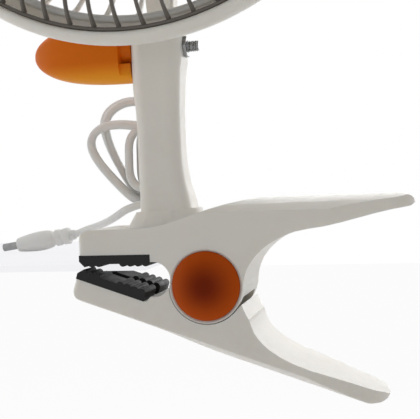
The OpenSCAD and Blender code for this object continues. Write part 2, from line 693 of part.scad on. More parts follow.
// Rear cover, a rounded cup with vents, screw bosses and a round hole for the switch
module housing_cover() color(shell_white) at_fan() difference() {
    union() {
        difference() {
            cup(housing_r, cover_back, split_z - 0.05, 10);
            cup(housing_r - housing_wall, cover_back + housing_wall, split_z + 1, 8);
        }
        intersection() {
            cup(housing_r, cover_back, split_z - 0.05, 10);
            at_cover_screws() translate([0, 0, cover_back])
                cylinder(r = boss_r + 0.6, h = housing_l, $fn = 32);
        }
    }
    translate([0, 0, cover_back - 1]) cylinder(r = switch_r + run_gap, h = 10, $fn = 64);
    for (i = [0:vents - 1]) rotate((i + 0.5) * 360 / vents)
        translate([housing_r, 0, (split_z + cover_back) / 2 - 2]) cube([14, 2.4, 11], center = true);
    at_cover_screws() translate([0, 0, cover_back - 1]) {
        cylinder(r = screw_r + screw_gap, h = housing_l, $fn = 24);
        cylinder(r = screw_head_r + screw_gap, h = cover_screw_seat - cover_back + 1, $fn = 32);
    }
}

cover_screw_seat = split_z - 5;

// Solid cup from z0 to z1 whose closed end at z0 is rounded
module cup(r, z0, z1, round_r) rotate_extrude($fn = 128) {
    translate([0, z0]) square([r - round_r, z1 - z0]);
    translate([0, z0 + round_r]) square([r, z1 - z0 - round_r]);
    translate([r - round_r, z0 + round_r]) intersection() {
        circle(round_r, $fn = 64);
        translate([0, -round_r]) square([round_r, round_r]);
    }
}

module housing_screws() color(steel) at_fan() at_cover_screws() {
    translate([0, 0, cover_screw_seat - screw_head_t]) difference() {
        cylinder(r = screw_head_r, h = screw_head_t, $fn = 32);
        translate([0, 0, 0.4]) cube([0.8, 4, 1.2], center = true);
        translate([0, 0, 0.4]) cube([4, 0.8, 1.2], center = true);
    }
    translate([0, 0, cover_screw_seat - eps]) cylinder(r = screw_r - 0.05, h = 12, $fn = 24);
}

module guard_screws() color(steel) at_fan() at_guard_screws() {
    translate([0, 0, guard_hub_z + guard_hub_t]) difference() {
        cylinder(r = screw_head_r, h = 1.8, $fn = 32);
        translate([0, 0, 1.6]) cube([0.8, 4, 1.2], center = true);
        translate([0, 0, 1.6]) cube([4, 0.8, 1.2], center = true);
    }
    translate([0, 0, housing_front - 6]) cylinder(r = screw_r - 0.05, h = 6.1 + guard_hub_t, $fn = 24);
}

// ---- motor -----------------------------------------------------------------------------

can_wall = 1;
bush_r = 3.2;

module motor_can() color(steel) at_fan() difference() {
    union() {
        translate([0, 0, can_back]) cylinder(r = motor_r, h = motor_l, $fn = 96);
        translate([0, 0, motor_front - eps]) cylinder(r = bush_r + 1.6, h = 2.5, $fn = 48);
    }
    translate([0, 0, can_back - 1]) cylinder(r = motor_r - can_wall, h = motor_l, $fn = 96);
    translate([0, 0, can_back]) cylinder(r = bush_r, h = motor_l + 10, $fn = 48);
}

module motor_endcap() color(rubber_black) at_fan() difference() {
    union() {
        translate([0, 0, can_back + 0.2]) cylinder(r = motor_r - can_wall - 0.05, h = 2.4, $fn = 96);
        translate([0, 0, can_back - 2]) cylinder(r = bush_r + 1.8, h = 3, $fn = 48);
    }
    translate([0, 0, can_back - 5]) cylinder(r = bush_r, h = 12, $fn = 48);
}

module motor_magnets() color([0.2, 0.2, 0.22]) at_fan() for (a = [0, 180]) rotate(a)
    translate([0, 0, can_back + 5]) intersection() {
        difference() {
            cylinder(r = motor_r - can_wall - 0.05, h = motor_l - 9, $fn = 96);
            translate([0, 0, -1]) cylinder(r = motor_r - 4.4, h = motor_l, $fn = 96);
        }
        translate([0, 0, -1]) linear_extrude(motor_l) polygon([[0, 0], [30, -26], [30, 26]]);
    }

module bush(z0, h) translate([0, 0, z0]) difference() {
    cylinder(r = bush_r - 0.02, h = h, $fn = 48);
    translate([0, 0, -1]) cylinder(r = shaft_r + run_gap, h = h + 2, $fn = 48);
}

module bush_front() color(brass) at_fan() bush(motor_front - can_wall, 3.4);
module bush_rear() color(brass) at_fan() bush(can_back - 2, 4.4);

module motor_armature() color([0.7, 0.4, 0.2]) at_fan() difference() {
    union() {
        for (a = [0, 60, 120]) rotate(a) translate([0, 0, motor_front - motor_l / 2 - 1])
            cube([2 * (motor_r - 5.4), 4.4, motor_l - 12], center = true);
        translate([0, 0, can_back + 4]) cylinder(r = 3.4, h = motor_l - 9, $fn = 32);
    }
    translate([0, 0, can_back]) cylinder(r = shaft_r, h = motor_l, $fn = 48);
}

blade_z = guard_hub_z + 8;
module motor_shaft() color(steel) at_fan() translate([0, 0, can_back - 1.6])
    cylinder(r = shaft_r, h = blade_z + blade_hub_l + 3 - can_back + 1.6, $fn = 48);

// ---- blade -----------------------------------------------------------------------------

// Rows of one blade: radius, chord and pitch follow smooth rules, n along, m across
blade_rows = 8;
blade_cols = 6;
function blade_chord(u) = 24 + 22 * sin(150 * pow(u, 0.9)) + 6 * u;
function blade_pitch(u) = 34 - 18 * u;
function blade_sweep(u) = 24 * u * u;
function blade_point(i, j, side) =
    let (u = i / blade_rows, v = j / blade_cols - 0.5,
        r = blade_hub_r - 1.2 + (blade_r - blade_hub_r + 1.2) * u,
        tip = i == blade_rows ? 0.55 : i == blade_rows - 1 ? 0.86 : 1,
        c = blade_chord(u) * tip * v,
        camber = (0.25 - v * v) * 0.16 * blade_chord(u),
        x = c * cos(blade_pitch(u)) - camber * sin(blade_pitch(u)),
        z = c * sin(blade_pitch(u)) * -1 + camber * cos(blade_pitch(u)),
        a = blade_sweep(u) + x / r * 180 / PI)
    [r * cos(a), r * sin(a), z + side * blade_t / 2 * (1 - 0.4 * u)];

module blade() {
    across_n = blade_cols + 1;
    count = (blade_rows + 1) * across_n;
    points = [for (s = [-1, 1], i = [0:blade_rows], j = [0:blade_cols]) blade_point(i, j, s)];
    function at(s, i, j) = s * count + i * across_n + j;
    // the rim of the grid, once round, joins the two faces
    edge = concat([for (j = [0:blade_cols]) at(0, 0, j)],
        [for (i = [1:blade_rows]) at(0, i, blade_cols)],
        [for (j = [blade_cols - 1:-1:0]) at(0, blade_rows, j)],
        [for (i = [blade_rows - 1:-1:1]) at(0, i, 0)]);
    faces = [for (i = [0:blade_rows - 1], j = [0:blade_cols - 1], s = [0, 1])
        let (a = at(s, i, j), b = at(s, i, j + 1), c = at(s, i + 1, j + 1), d = at(s, i + 1, j))
        each s == 0 ? [[a, c, b], [a, d, c]] : [[a, b, c], [a, c, d]]];
    wall = [for (k = [0:len(edge) - 1])
        let (a = edge[k], b = edge[(k + 1) % len(edge)])
        each [[a, b, b + count], [a, b + count, a + count]]];
    polyhedron(points, concat(faces, wall), convexity = 6);
}

module fan_blade() color(shell_white) at_fan() translate([0, 0, blade_z]) difference() {
    union() {
        difference() {
            cylinder(r = blade_hub_r, h = blade_hub_l, $fn = 96);
            translate([0, 0, -1]) cylinder(r = blade_hub_r - 2, h = blade_hub_l - 2, $fn = 96);
        }
        cylinder(r = 4.5, h = blade_hub_l - 1, $fn = 48);
        for (i = [0:blade_count - 1]) rotate(i * 360 / blade_count)
            translate([0, 0, blade_hub_l * 0.6]) blade();
    }
    translate([0, 0, -1]) cylinder(r = shaft_r, h = 40, $fn = 48);
}

module blade_nut() color(accent_orange) at_fan() translate([0, 0, blade_z + blade_hub_l]) difference() {
    rotate_extrude($fn = 64) intersection() {
        translate([0, -2]) circle(8, $fn = 64);
        square([8, 8]);
    }
    translate([0, 0, -1]) cylinder(r = shaft_r, h = 4.2, $fn = 48);
}

// ---- switch ----------------------------------------------------------------------------

switch_r = 9.5;
rocker_w = 11;
rocker_l = 13;
rocker_r = 9;
// Round bezel and body of the rocker switch, facing backwards
module switch_body() color(rubber_black) at_fan() translate([0, 0, cover_back]) difference() {
    union() {
        translate([0, 0, -1.6]) cylinder(r = switch_r + 1.4, h = 1.6, $fn = 64);
        cylinder(r = switch_r, h = 9, $fn = 64);
    }
    translate([0, 0, 1.5]) cube([rocker_w + 2 * move_gap, rocker_l + 1, 9], center = true);
    translate([0, 0, rocker_pin_z]) rotate([0, 90, 0])
        cylinder(r = rocker_pin_r + run_gap, h = 2 * rocker_w, center = true, $fn = 32);
}

rocker_pin_z = 2.6;
rocker_pin_r = 1;
rocker_face = 4.2;
// The rocker turns on a pin across the body; its face is a shallow V
module switch_rocker() color([0.75, 0.2, 0.1]) at_fan() translate([0, 0, cover_back + rocker_pin_z]) {
    rotate([90, 0, 90]) linear_extrude(rocker_w, center = true)
        polygon([[-rocker_l / 2 + 0.4, -rocker_face - 1], [0, -rocker_face + 0.2],
            [rocker_l / 2 - 0.4, -rocker_face - 1], [rocker_l / 2 - 0.8, -1.2], [2, 1.4],
            [-2, 1.4], [-rocker_l / 2 + 0.8, -1.2]]);
    rotate([0, 90, 0]) cylinder(r = rocker_pin_r, h = rocker_w + 3, center = true, $fn = 32);
}

// ---- cord and plug ---------------------------------------------------------------------

cord_r = cord_d / 2;
grommet_h = 64;
grommet_r = 3.6;
grommet_sink = 3;
grommet_l = 6;
hank_x = -6.8;
hank_y = 33.4;
hank_z = 42.2;
plug_at = [-45.5, 62, 7.4];
plug_turn = 2;
plug_tilt = 8.5;
// The cord's route from the grommet into the hank, and from the hank to the plug
exit_route = [[16.5, 13, 57], [16.5, 16, 57], [16.3, 18.8, 56], [15.2, 20.6, 53.4],
    [12.4, 21.5, 50], [8.9, 23.2, 46.4]];
lead_route = [[1, 23.4, 21.6], [-6.6, 23.6, 19.5], [-10.8, 27.5, 17.6], [-16.5, 33.5, 15.3],
    [-22.4, 41, 13.4], [-29.7, 50.5, 11.6], [-35.6, 57.3, 10.4], [-40.9, 61, 9.2],
    [-44, 62, 7.8], [-47.5, 61.9, 7.1]];

module cord_grommet() color(shell_white)
    translate([post_x, post_d / 2 - grommet_sink, pivot_z + grommet_h]) rotate([-90, 0, 0]) difference() {
        union() {
            cylinder(r = grommet_r, h = grommet_sink + 1, $fn = 48);
            translate([0, 0, grommet_sink + 0.02]) cylinder(r = grommet_r + 1, h = 1.6, $fn = 48);
            translate([0, 0, grommet_sink + 1])
                cylinder(r1 = grommet_r - 0.6, r2 = cord_r + 0.7, h = grommet_l, $fn = 48);
        }
        translate([0, 0, -1]) cylinder(r = cord_r + run_gap, h = 30, $fn = 32);
    }

module cord_exit() color(shell_white) tube(spline(exit_route, 3), cord_r);
module cord_lead() color(shell_white) tube(spline(lead_route, 3), cord_r);

// Outer shape of the tied hank: an upright ring with round ends
module hank_outline(inset) {
    w = hank_w - 2 * inset;
    h = hank_h - 2 * inset;
    square([w, h - w], center = true);
    for (s = [-1, 1]) translate([0, s * (h - w) / 2]) circle(w / 2, $fn = 48);
}

hank_strand = 12.5;
module cord_hank() color(shell_white) translate([hank_x, hank_y, hank_z]) across(hank_t) difference() {
    hank_outline(0);
    hank_outline(hank_strand);
}

module cord_tie() color([0.2, 0.2, 0.2]) translate([hank_x, hank_y, hank_z]) {
    translate([(hank_w - hank_strand) / 2, 0, 0]) difference() {
        cube([hank_strand + 2 * tie_t, hank_t + 2 * tie_t, tie_w], center = true);
        cube([hank_strand + 0.1, hank_t + 0.1, 2 * tie_w], center = true);
    }
}

tie_t = 1;
tie_w = 3;

// Puts children drawn along the plug's axis: +Z points from the cord to the barrel's end
module at_plug() translate(plug_at) rotate([0, 0, plug_turn]) rotate([0, -90 - plug_tilt, 0]) children();

collar_l = 7.3;
sleeve_l = 2.5;
grip_start = sleeve_l + collar_l;
barrel_start = grip_start + plug_l;
nose_plug_r = 3.1;
liner_r = 1.4;
barrel_root = 6;
root_r = 1.2;

// Moulded grip: sleeve on the cord, stepped collar, waist, full belly, narrower nose
module plug_grip() color(shell_white) at_plug() difference() {
    rotate_extrude($fn = 64) polygon(concat(
        [[0, 0], [2.1, 0], [2.4, sleeve_l], [3.3, sleeve_l], [3.7, sleeve_l + 0.5], [3.7, sleeve_l + 3],
         [3.3, sleeve_l + 3.4], [3.3, sleeve_l + 4.2], [3.7, sleeve_l + 4.6], [3.7, grip_start - 0.6],
         [3, grip_start]],
        bezier([3, grip_start + 0.6], [plug_r + 0.3, grip_start + 2], [plug_r + 0.6, grip_start + 8],
            [nose_plug_r, barrel_start], 10),
        [[0, barrel_start]]));
    translate([0, 0, barrel_start - barrel_root]) cylinder(r = root_r, h = 2 * barrel_root, $fn = 48);
    translate([0, 0, -1]) cylinder(r = cord_r + run_gap, h = 5, $fn = 32);
}

module plug_barrel() color(steel) at_plug() difference() {
    union() {
        translate([0, 0, barrel_start]) cylinder(r = barrel_r, h = barrel_l, $fn = 64);
        translate([0, 0, barrel_start - barrel_root]) cylinder(r = root_r, h = barrel_root + 1, $fn = 48);
    }
    translate([0, 0, barrel_start + 1]) cylinder(r = liner_r, h = barrel_l, $fn = 48);
}

module plug_liner() color(rubber_black) at_plug() difference() {
    translate([0, 0, barrel_start + 1]) cylinder(r = liner_r, h = barrel_l - 1, $fn = 48);
    translate([0, 0, barrel_start + 1.6]) cylinder(r = contact_r, h = barrel_l, $fn = 32);
}

// ---- assembly --------------------------------------------------------------------------

clamp_upper();
clamp_lower();
upper_pads();
lower_pads();
pivot_pin();
pivot_cap_front();
pivot_cap_rear();
clamp_spring();
post();
post_screw();
tilt_nut();
tilt_bolt();
tilt_knob();
tilt_washers();
rear_guard();
front_grille();
grille_cap();
housing_base();
housing_cover();
housing_screws();
guard_screws();
motor_can();
motor_endcap();
motor_magnets();
bush_front();
bush_rear();
motor_armature();
motor_shaft();
fan_blade();
blade_nut();
switch_body();
switch_rocker();
cord_grommet();
cord_exit();
cord_hank();
cord_tie();
cord_lead();
plug_grip();
plug_barrel();
plug_liner();
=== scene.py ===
import itertools
import math

import bmesh
import bpy
from mathutils import Matrix, Vector


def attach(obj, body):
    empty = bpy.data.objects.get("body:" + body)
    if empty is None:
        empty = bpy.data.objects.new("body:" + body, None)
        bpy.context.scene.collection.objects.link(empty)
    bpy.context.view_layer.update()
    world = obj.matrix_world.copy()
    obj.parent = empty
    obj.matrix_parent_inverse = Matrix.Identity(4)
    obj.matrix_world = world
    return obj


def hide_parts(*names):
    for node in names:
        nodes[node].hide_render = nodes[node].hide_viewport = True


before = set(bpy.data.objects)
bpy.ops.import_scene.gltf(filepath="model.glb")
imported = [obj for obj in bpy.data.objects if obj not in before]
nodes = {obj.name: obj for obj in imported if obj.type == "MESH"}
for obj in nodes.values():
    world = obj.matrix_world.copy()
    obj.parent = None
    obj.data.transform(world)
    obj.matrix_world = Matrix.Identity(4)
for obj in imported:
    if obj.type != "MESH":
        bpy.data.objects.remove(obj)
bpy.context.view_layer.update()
mm = 0.001
pivotMiddle = Vector((33 * mm, 0, -7 * mm))
fanMiddle = Vector((16.5 * mm, 0, 161.9 * mm))
tiltMiddle = Vector((16.5 * mm, 0, 76.7 * mm))
print("frame loaded:", len(nodes), "solids")


def link(piece):
    bpy.context.scene.collection.objects.link(piece)
    return piece


viewpoint = {
    "place": (0.1001, -0.2860, 0.0267), "turn": 13.4, "pitch": -1.6, "roll": 2.2,
    "lens": 70.8, "sensor": 36, "reach": (0.01, 20),
}


def makeCamera():
    turn, pitch, roll = (math.radians(viewpoint[k]) for k in ("turn", "pitch", "roll"))
    ahead = Vector((-math.sin(turn) * math.cos(pitch), math.cos(turn) * math.cos(pitch), math.sin(pitch)))
    level = Vector((math.cos(turn), math.sin(turn), 0))
    above = level.cross(ahead)
    across = level * math.cos(roll) - above * math.sin(roll)
    up = level * math.sin(roll) + above * math.cos(roll)
    data = bpy.data.cameras.new("view")
    data.lens = viewpoint["lens"]
    data.sensor_width = viewpoint["sensor"]
    data.clip_start, data.clip_end = viewpoint["reach"]
    camera = link(bpy.data.objects.new("view", data))
    rows = Matrix((across, up, -ahead)).transposed()
    camera.matrix_world = Matrix.Translation(viewpoint["place"]) @ rows.to_4x4()
    bpy.context.scene.camera = camera


makeCamera()


class Wire:  # one socket of the material that is being made
    tree = None

    def __init__(self, socket):
        self.socket = socket

    @staticmethod
    def node(kind, settings=None, inputs=None, output=0):
        made = Wire.tree.nodes.new(kind)
        for name, value in (settings or {}).items():
            setattr(made, name, value)
        for name, value in (inputs or {}).items():
            if isinstance(value, Wire):
                Wire.tree.links.new(value.socket, made.inputs[name])
            else:
                made.inputs[name].default_value = value
        return Wire(made.outputs[output]) if made.outputs else None

    def maths(self, operation, first, second):
        return Wire.node("ShaderNodeMath", {"operation": operation}, {0: first, 1: second})

    def __add__(self, other):
        return self.maths("ADD", self, other)

    def __mul__(self, other):
        return self.maths("MULTIPLY", self, other)

    __radd__ = __add__
    __rmul__ = __mul__


def rgba(color):
    return (*color, 1)


def noiseOn(place, scale, detail=3):
    return Wire.node("ShaderNodeTexNoise", None, {"Vector": place, "Scale": scale, "Detail": detail})


def between(wire, low, high, fromLow=0.3, fromHigh=0.7):
    ends = {"From Min": fromLow, "From Max": fromHigh, "To Min": low, "To Max": high}
    return Wire.node("ShaderNodeMapRange", {"interpolation_type": "SMOOTHSTEP"}, {"Value": wire, **ends})


def mixed(factor, first, second):
    return Wire.node("ShaderNodeMix", {"data_type": "RGBA"}, {"Factor": factor, 6: first, 7: second}, 2)


def newMaterial(name):
    material = bpy.data.materials.new(name)
    material.use_nodes = True
    Wire.tree = material.node_tree
    Wire.tree.nodes.clear()
    return material


def surfaceOf(shader):
    Wire.node("ShaderNodeOutputMaterial", None, {"Surface": shader})


# "glow" is how much light the plastic lets in, "grain" its fine texture per metre
plastics = {
    "shellWhite": {"slot": "shell_white", "color": (0.87, 0.838, 0.772), "rough": 0.34,
                   "glow": 0.3, "grain": 2600, "depth": 0.05},
    "bladeWhite": {"slot": "shell_white", "color": (0.85, 0.85, 0.83), "rough": 0.28,
                   "glow": 0.25, "grain": 2200, "depth": 0.03},
    "accentOrange": {"slot": "accent_orange", "color": (0.8, 0.215, 0.008), "rough": 0.34,
                     "glow": 0.2, "grain": 2600, "depth": 0.015, "shine": 0.25},
    # painted light and shade: a deeper copy of the orange plastic for the knob, deeper above and lighter
    # towards its underside ("low")
    "knobOrangePaintedLight": {"slot": "accent_orange", "color": (0.82, 0.175, 0.003), "rough": 0.36,
                   "glow": 0.0, "grain": 2600, "depth": 0.015, "shine": 0.16,
                   "low": (1.0, 0.38, 0.015), "lowFrom": (-11.5, -3.5)},
    # painted shade: a darker copy of the orange plastic for the shaded pivot caps, darkest at the middle
    # ("core")
    "capOrangePaintedShade": {"slot": "accent_orange", "color": (0.54, 0.08, 0.002), "rough": 0.4,
                  "glow": 0.0, "grain": 2600, "depth": 0.015, "shine": 0.08,
                  "core": (0.19, 0.017, 0.0005), "coreReach": (1.25, 12.5)},
    "switchRed": {"slot": "switch_red", "color": (0.55, 0.06, 0.04), "rough": 0.3,
                  "glow": 0.1, "grain": 2600, "depth": 0.03},
    "grilleGrey": {"slot": "grille_grey", "color": (0.15, 0.133, 0.115), "rough": 0.42,
                   "glow": 0.0, "grain": 2000, "depth": 0.06},
    "cordWhite": {"slot": "cord_white", "color": (0.84, 0.84, 0.82), "rough": 0.45,
                  "glow": 0.15, "grain": 1500, "depth": 0.08},
    "blackNylon": {"slot": "black_plastic", "color": (0.045, 0.045, 0.045), "rough": 0.5,
                   "glow": 0.0, "grain": 1800, "depth": 0.1},
    "gripRubber": {"slot": "grip_rubber", "color": (0.009, 0.009, 0.009), "rough": 0.5,
                   "glow": 0.0, "grain": 1400, "depth": 0.25, "shine": 0.25},
}
moulding = {
    "cloud": 35, "blush": 420, "deeper": (0.955, 0.945, 0.93), "lighter": 1.025, "shine": 0.45,
    "deeperShare": 0.6, "roughFrom": -0.04, "roughTo": 0.07, "bumpReach": 0.0003, "waviness": 6,
    "glowReach": 0.003, "glowTint": (1.0, 0.8, 0.6),
}


def plastic(name, spec):
    material = newMaterial(name)
    place = Wire.node("ShaderNodeTexCoord", output=3)
    cloud = noiseOn(place, moulding["cloud"], 2)
    blush = noiseOn(place, moulding["blush"], 4)
    grain = noiseOn(place, spec["grain"], 3)
    base = rgba(spec["color"])
    deeper = rgba([c * f for c, f in zip(spec["color"], moulding["deeper"])])
    lighter = rgba([min(c * moulding["lighter"], 1) for c in spec["color"]])
    color = mixed(between(cloud, 0, 1),
                  mixed(between(blush, 0, moulding["deeperShare"]), base, deeper), lighter)
    if "core" in spec:  # painted shade: darker towards the middle, seen along the pivot's axis
        fromAxis = Wire.node("ShaderNodeVectorMath", {"operation": "SUBTRACT"}, {0: place, 1: pivotMiddle})
        flat = Wire.node("ShaderNodeVectorMath", {"operation": "MULTIPLY"}, {0: fromAxis, 1: (1, 0, 1)})
        reach = Wire.node("ShaderNodeVectorMath", {"operation": "LENGTH"}, {0: flat}, "Value")
        near, far = (r * mm for r in spec["coreReach"])
        color = mixed(between(reach, 0, 1, near, far), rgba(spec["core"]), color)
    if "low" in spec:  # painted light: lighter towards the underside
        height = Wire.node("ShaderNodeSeparateXYZ", None, {"Vector": place}, 2)
        bottom, top = (tiltMiddle.z + level * mm for level in spec["lowFrom"])
        color = mixed(between(height, 1, 0, bottom, top), color, rgba(spec["low"]))
    rough = between(blush, spec["rough"] + moulding["roughFrom"], spec["rough"] + moulding["roughTo"])
    bump = Wire.node("ShaderNodeBump", None, {
        "Strength": spec["depth"], "Distance": moulding["bumpReach"],
        "Height": grain + moulding["waviness"] * cloud})
    surfaceOf(Wire.node("ShaderNodeBsdfPrincipled", None, {
        "Base Color": color, "Roughness": rough, "Normal": bump,
        "Specular IOR Level": spec.get("shine", moulding["shine"]), "Subsurface Weight": spec["glow"],
        "Subsurface Scale": moulding["glowReach"], "Subsurface Radius": moulding["glowTint"]}))
    return material


# "lines" is how finely the brushing runs along each axis
metals = {
    "winding": {"slot": "winding", "color": (0.5, 0.24, 0.1), "rough": 0.35,
                "metallic": 0.7, "lines": (300, 300, 3000)},
    "magnetGrey": {"slot": "magnet", "color": (0.16, 0.16, 0.17), "rough": 0.6,
                   "metallic": 0.2, "lines": (900, 900, 900)},
    "bronze": {"slot": "bronze", "color": (0.62, 0.46, 0.25), "rough": 0.4,
               "metallic": 1.0, "lines": (1200, 1200, 1200)},
    # painted shade: the steel's grey is darkened to stand in for the shade on the tilt nut
    "zincSteelPaintedShade": {"slot": "steel", "color": (0.3, 0.3, 0.3), "rough": 0.26,
                  "metallic": 1.0, "lines": (260, 2400, 2400)},
}
brushing = {
    "cloud": 300, "dull": 0.78, "dullShare": 0.8, "roughFrom": -0.08, "roughTo": 0.1,
    "bumpStrength": 0.12, "bumpReach": 0.0001,
}


def metal(name, spec):
    material = newMaterial(name)
    place = Wire.node("ShaderNodeTexCoord", output=3)
    stretched = Wire.node("ShaderNodeMapping", None, {"Vector": place, "Scale": spec["lines"]})
    brushed = noiseOn(stretched, 1)
    cloud = noiseOn(place, brushing["cloud"])
    dull = rgba([c * brushing["dull"] for c in spec["color"]])
    color = mixed(between(cloud, 0, brushing["dullShare"]), rgba(spec["color"]), dull)
    rough = between(brushed, spec["rough"] + brushing["roughFrom"], spec["rough"] + brushing["roughTo"])
    bump = Wire.node("ShaderNodeBump", None, {
        "Strength": brushing["bumpStrength"], "Distance": brushing["bumpReach"], "Height": brushed})
    surfaceOf(Wire.node("ShaderNodeBsdfPrincipled", None, {
        "Base Color": color, "Roughness": rough, "Normal": bump, "Metallic": spec["metallic"]}))
    return material


materials = {name: plastic(name, spec) for name, spec in plastics.items()}
materials.update({name: metal(name, spec) for name, spec in metals.items()})
print("finishes made:", len(materials))

studio = {
    "ambient": 0.32, "backdrop": 1.0, "stageRough": 0.7, "aim": (0.01, 0, 0.05),
    "lamps": {  # place, size, watts
        "backSoftbox": ((0.25, 0.75, 0.35), 0.9, 3.0),
        "topSoftbox": ((-0.1, 0.05, 0.85), 0.7, 1.4),
        "frontFill": ((0.35, -0.9, 0.3), 0.9, 0.6),
        "sideFill": ((-0.8, -0.1, 0.1), 0.8, 1.2),
    },
    "boxes": {  # two corners, colour, glow, with the shelf that the clamp grips and the plug lies on
        "floor": ((-3, -3, -0.32), (3, 3, -0.30), (0.99, 0.99, 0.99), 0.96),
        "shelfEdge": ((-0.13, -0.005, -0.0024), (0.0085, 0.13, -0.00005), (0.93, 0.93, 0.95), 0.9),
    },
}


def seenDirectly():  # 1 where the camera looks straight, or through or off a shiny surface
    path = Wire.tree.nodes.new("ShaderNodeLightPath")
    straight, glossy, through = (Wire(path.outputs[f"Is {kind} Ray"])
                                 for kind in ("Camera", "Glossy", "Transmission"))
    return straight.maths("MAXIMUM", straight.maths("MAXIMUM", straight, glossy), through)


def stageFinish(name, color, glow):
    material = newMaterial(name)
    lit = Wire.node("ShaderNodeBsdfPrincipled", None, {
        "Base Color": rgba(color), "Roughness": studio["stageRough"]})
    white = Wire.node("ShaderNodeEmission", None, {"Color": rgba(color), "Strength": 1.0})
    surfaceOf(Wire.node("ShaderNodeMixShader", None, {0: seenDirectly() * glow, 1: lit, 2: white}))
    return material


def boxPiece(name, low, high):
    bm = bmesh.new()
    bmesh.ops.create_cube(bm, size=1)
    for v in bm.verts:
        v.co = Vector([(low[i] + high[i]) / 2 + v.co[i] * (high[i] - low[i]) for i in range(3)])
    mesh = bpy.data.meshes.new(name)
    bm.to_mesh(mesh)
    bm.free()
    return link(bpy.data.objects.new(name, mesh))


def makeStudio():
    world = bpy.data.worlds.new("studio")
    bpy.context.scene.world = world
    world.use_nodes = True
    Wire.tree = world.node_tree
    Wire.tree.nodes.clear()
    strength = studio["ambient"] + (studio["backdrop"] - studio["ambient"]) * seenDirectly()
    shade = Wire.node("ShaderNodeBackground", None, {"Color": (1, 1, 1, 1), "Strength": strength})
    Wire.node("ShaderNodeOutputWorld", None, {"Surface": shade})
    for name, (place, size, watts) in studio["lamps"].items():
        lamp = bpy.data.lights.new(name, "AREA")
        lamp.shape = "DISK"
        lamp.size = size
        lamp.energy = watts
        holder = link(bpy.data.objects.new(name, lamp))
        holder.location = place
        towards = Vector(studio["aim"]) - Vector(place)
        holder.rotation_euler = towards.to_track_quat("-Z", "Y").to_euler()
    for name, (low, high, color, glow) in studio["boxes"].items():
        piece = boxPiece(name, low, high)
        piece.data.materials.append(stageFinish(f"{name}Finish", color, glow))
    bpy.context.scene.view_settings.view_transform = "Standard"


makeStudio()
print("studio made")


def dress(piece, body, finishName, *replaced):
    piece.data.materials.clear()
    piece.data.materials.append(materials[finishName])
    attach(piece, body)
    if replaced:
        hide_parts(*replaced)
    return piece


welding = {"points": 2e-7, "solids": 3e-6, "flat": 0.7}  # two distances in metres, an angle


def smoothFaces(mesh, sharp):
    for polygon in mesh.polygons:
        polygon.use_smooth = True
    mesh.set_sharp_from_angle(angle=math.radians(sharp))


def newPiece(name, points, faces, sharp=40):
    mesh = bpy.data.meshes.new(name)
    mesh.from_pydata([tuple(p) for p in points], [], faces)
    bm = bmesh.new()
    bm.from_mesh(mesh)
    bmesh.ops.remove_doubles(bm, verts=bm.verts, dist=welding["points"])
    bmesh.ops.recalc_face_normals(bm, faces=bm.faces)
    bm.to_mesh(mesh)
    bm.free()
    smoothFaces(mesh, sharp)
    return link(bpy.data.objects.new(name, mesh))


def lofted(name, rings, closed=False, sharp=40):  # a skin through rings of points, a loop or capped
    n = len(rings[0])
    count = len(rings)
    faces = [(k * n + i, k * n + (i + 1) % n, (k + 1) % count * n + (i + 1) % n, (k + 1) % count * n + i)
             for k in range(count if closed else count - 1) for i in range(n)]
    if not closed:
        faces += [tuple(range(n)), tuple(range((count - 1) * n, count * n))]
    return newPiece(name, [p for ring in rings for p in ring], faces, sharp)


def turned(name, profile, steps, toPoint, sharp=40):  # a closed profile of (radius, along) turned round
    angles = [2 * math.pi * i / steps for i in range(steps)]
    rings = [[toPoint(r * math.cos(a), r * math.sin(a), z) for r, z in profile] for a in angles]
    return lofted(name, rings, True, sharp)


def applied(piece):  # the piece's modifiers become its mesh
    bpy.context.view_layer.update()
    graph = bpy.context.evaluated_depsgraph_get()
    mesh = bpy.data.meshes.new_from_object(piece.evaluated_get(graph))
    piece.modifiers.clear()
    piece.data = mesh
    return piece


def joined(name, parts, sharp):
    bm = bmesh.new()
    for part in parts:
        bm.from_mesh(part.data)
        bpy.data.objects.remove(part)
    mesh = bpy.data.meshes.new(name)
    bm.to_mesh(mesh)
    bm.free()
    smoothFaces(mesh, sharp)
    return link(bpy.data.objects.new(name, mesh))


def fromSolid(name, node):  # a merged copy of a CAD node's mesh, flat areas as single faces
    bm = bmesh.new()
    bm.from_mesh(nodes[node].data)
    bmesh.ops.remove_doubles(bm, verts=bm.verts, dist=welding["solids"])
    flat = math.radians(welding["flat"])
    bmesh.ops.dissolve_limit(bm, angle_limit=flat, verts=bm.verts, edges=bm.edges)
    mesh = bpy.data.meshes.new(name)
    bm.to_mesh(mesh)
    bm.free()
    return link(bpy.data.objects.new(name, mesh))


def beveled(piece, width, segments, angle=30):
    bevel = piece.modifiers.new("soft edges", "BEVEL")
    bevel.width = width * mm
    bevel.segments = segments
    bevel.limit_method = "ANGLE"
    bevel.angle_limit = math.radians(angle)
    return applied(piece)


def rounded(piece, width, segments=3, angle=28, sharp=42):
    beveled(piece, width, segments, angle)
    smoothFaces(piece.data, sharp)
    weighted = piece.modifiers.new("even shading", "WEIGHTED_NORMAL")
    weighted.keep_sharp = True
    return applied(piece)


def softened(name, node, width, segments=3, angle=28, sharp=42):
    return rounded(fromSolid(name, node), width, segments, angle, sharp)


def roundedBox(low, high, r, steps=4):  # profile of a rounded rectangle
    right, left, top, bottom = high[0] - r, low[0] + r, high[1] - r, low[1] + r
    corners = [(right, top, 0), (left, top, 90), (left, bottom, 180), (right, bottom, 270)]
    return [p for x, y, start in corners for p in arcOf(x, y, r, start, start + 90, steps)]


def arcOf(x, y, r, start, end, steps):
    angles = [math.radians(start + (end - start) * i / steps) for i in range(steps + 1)]
    return [(x + r * math.cos(a), y + r * math.sin(a)) for a in angles]


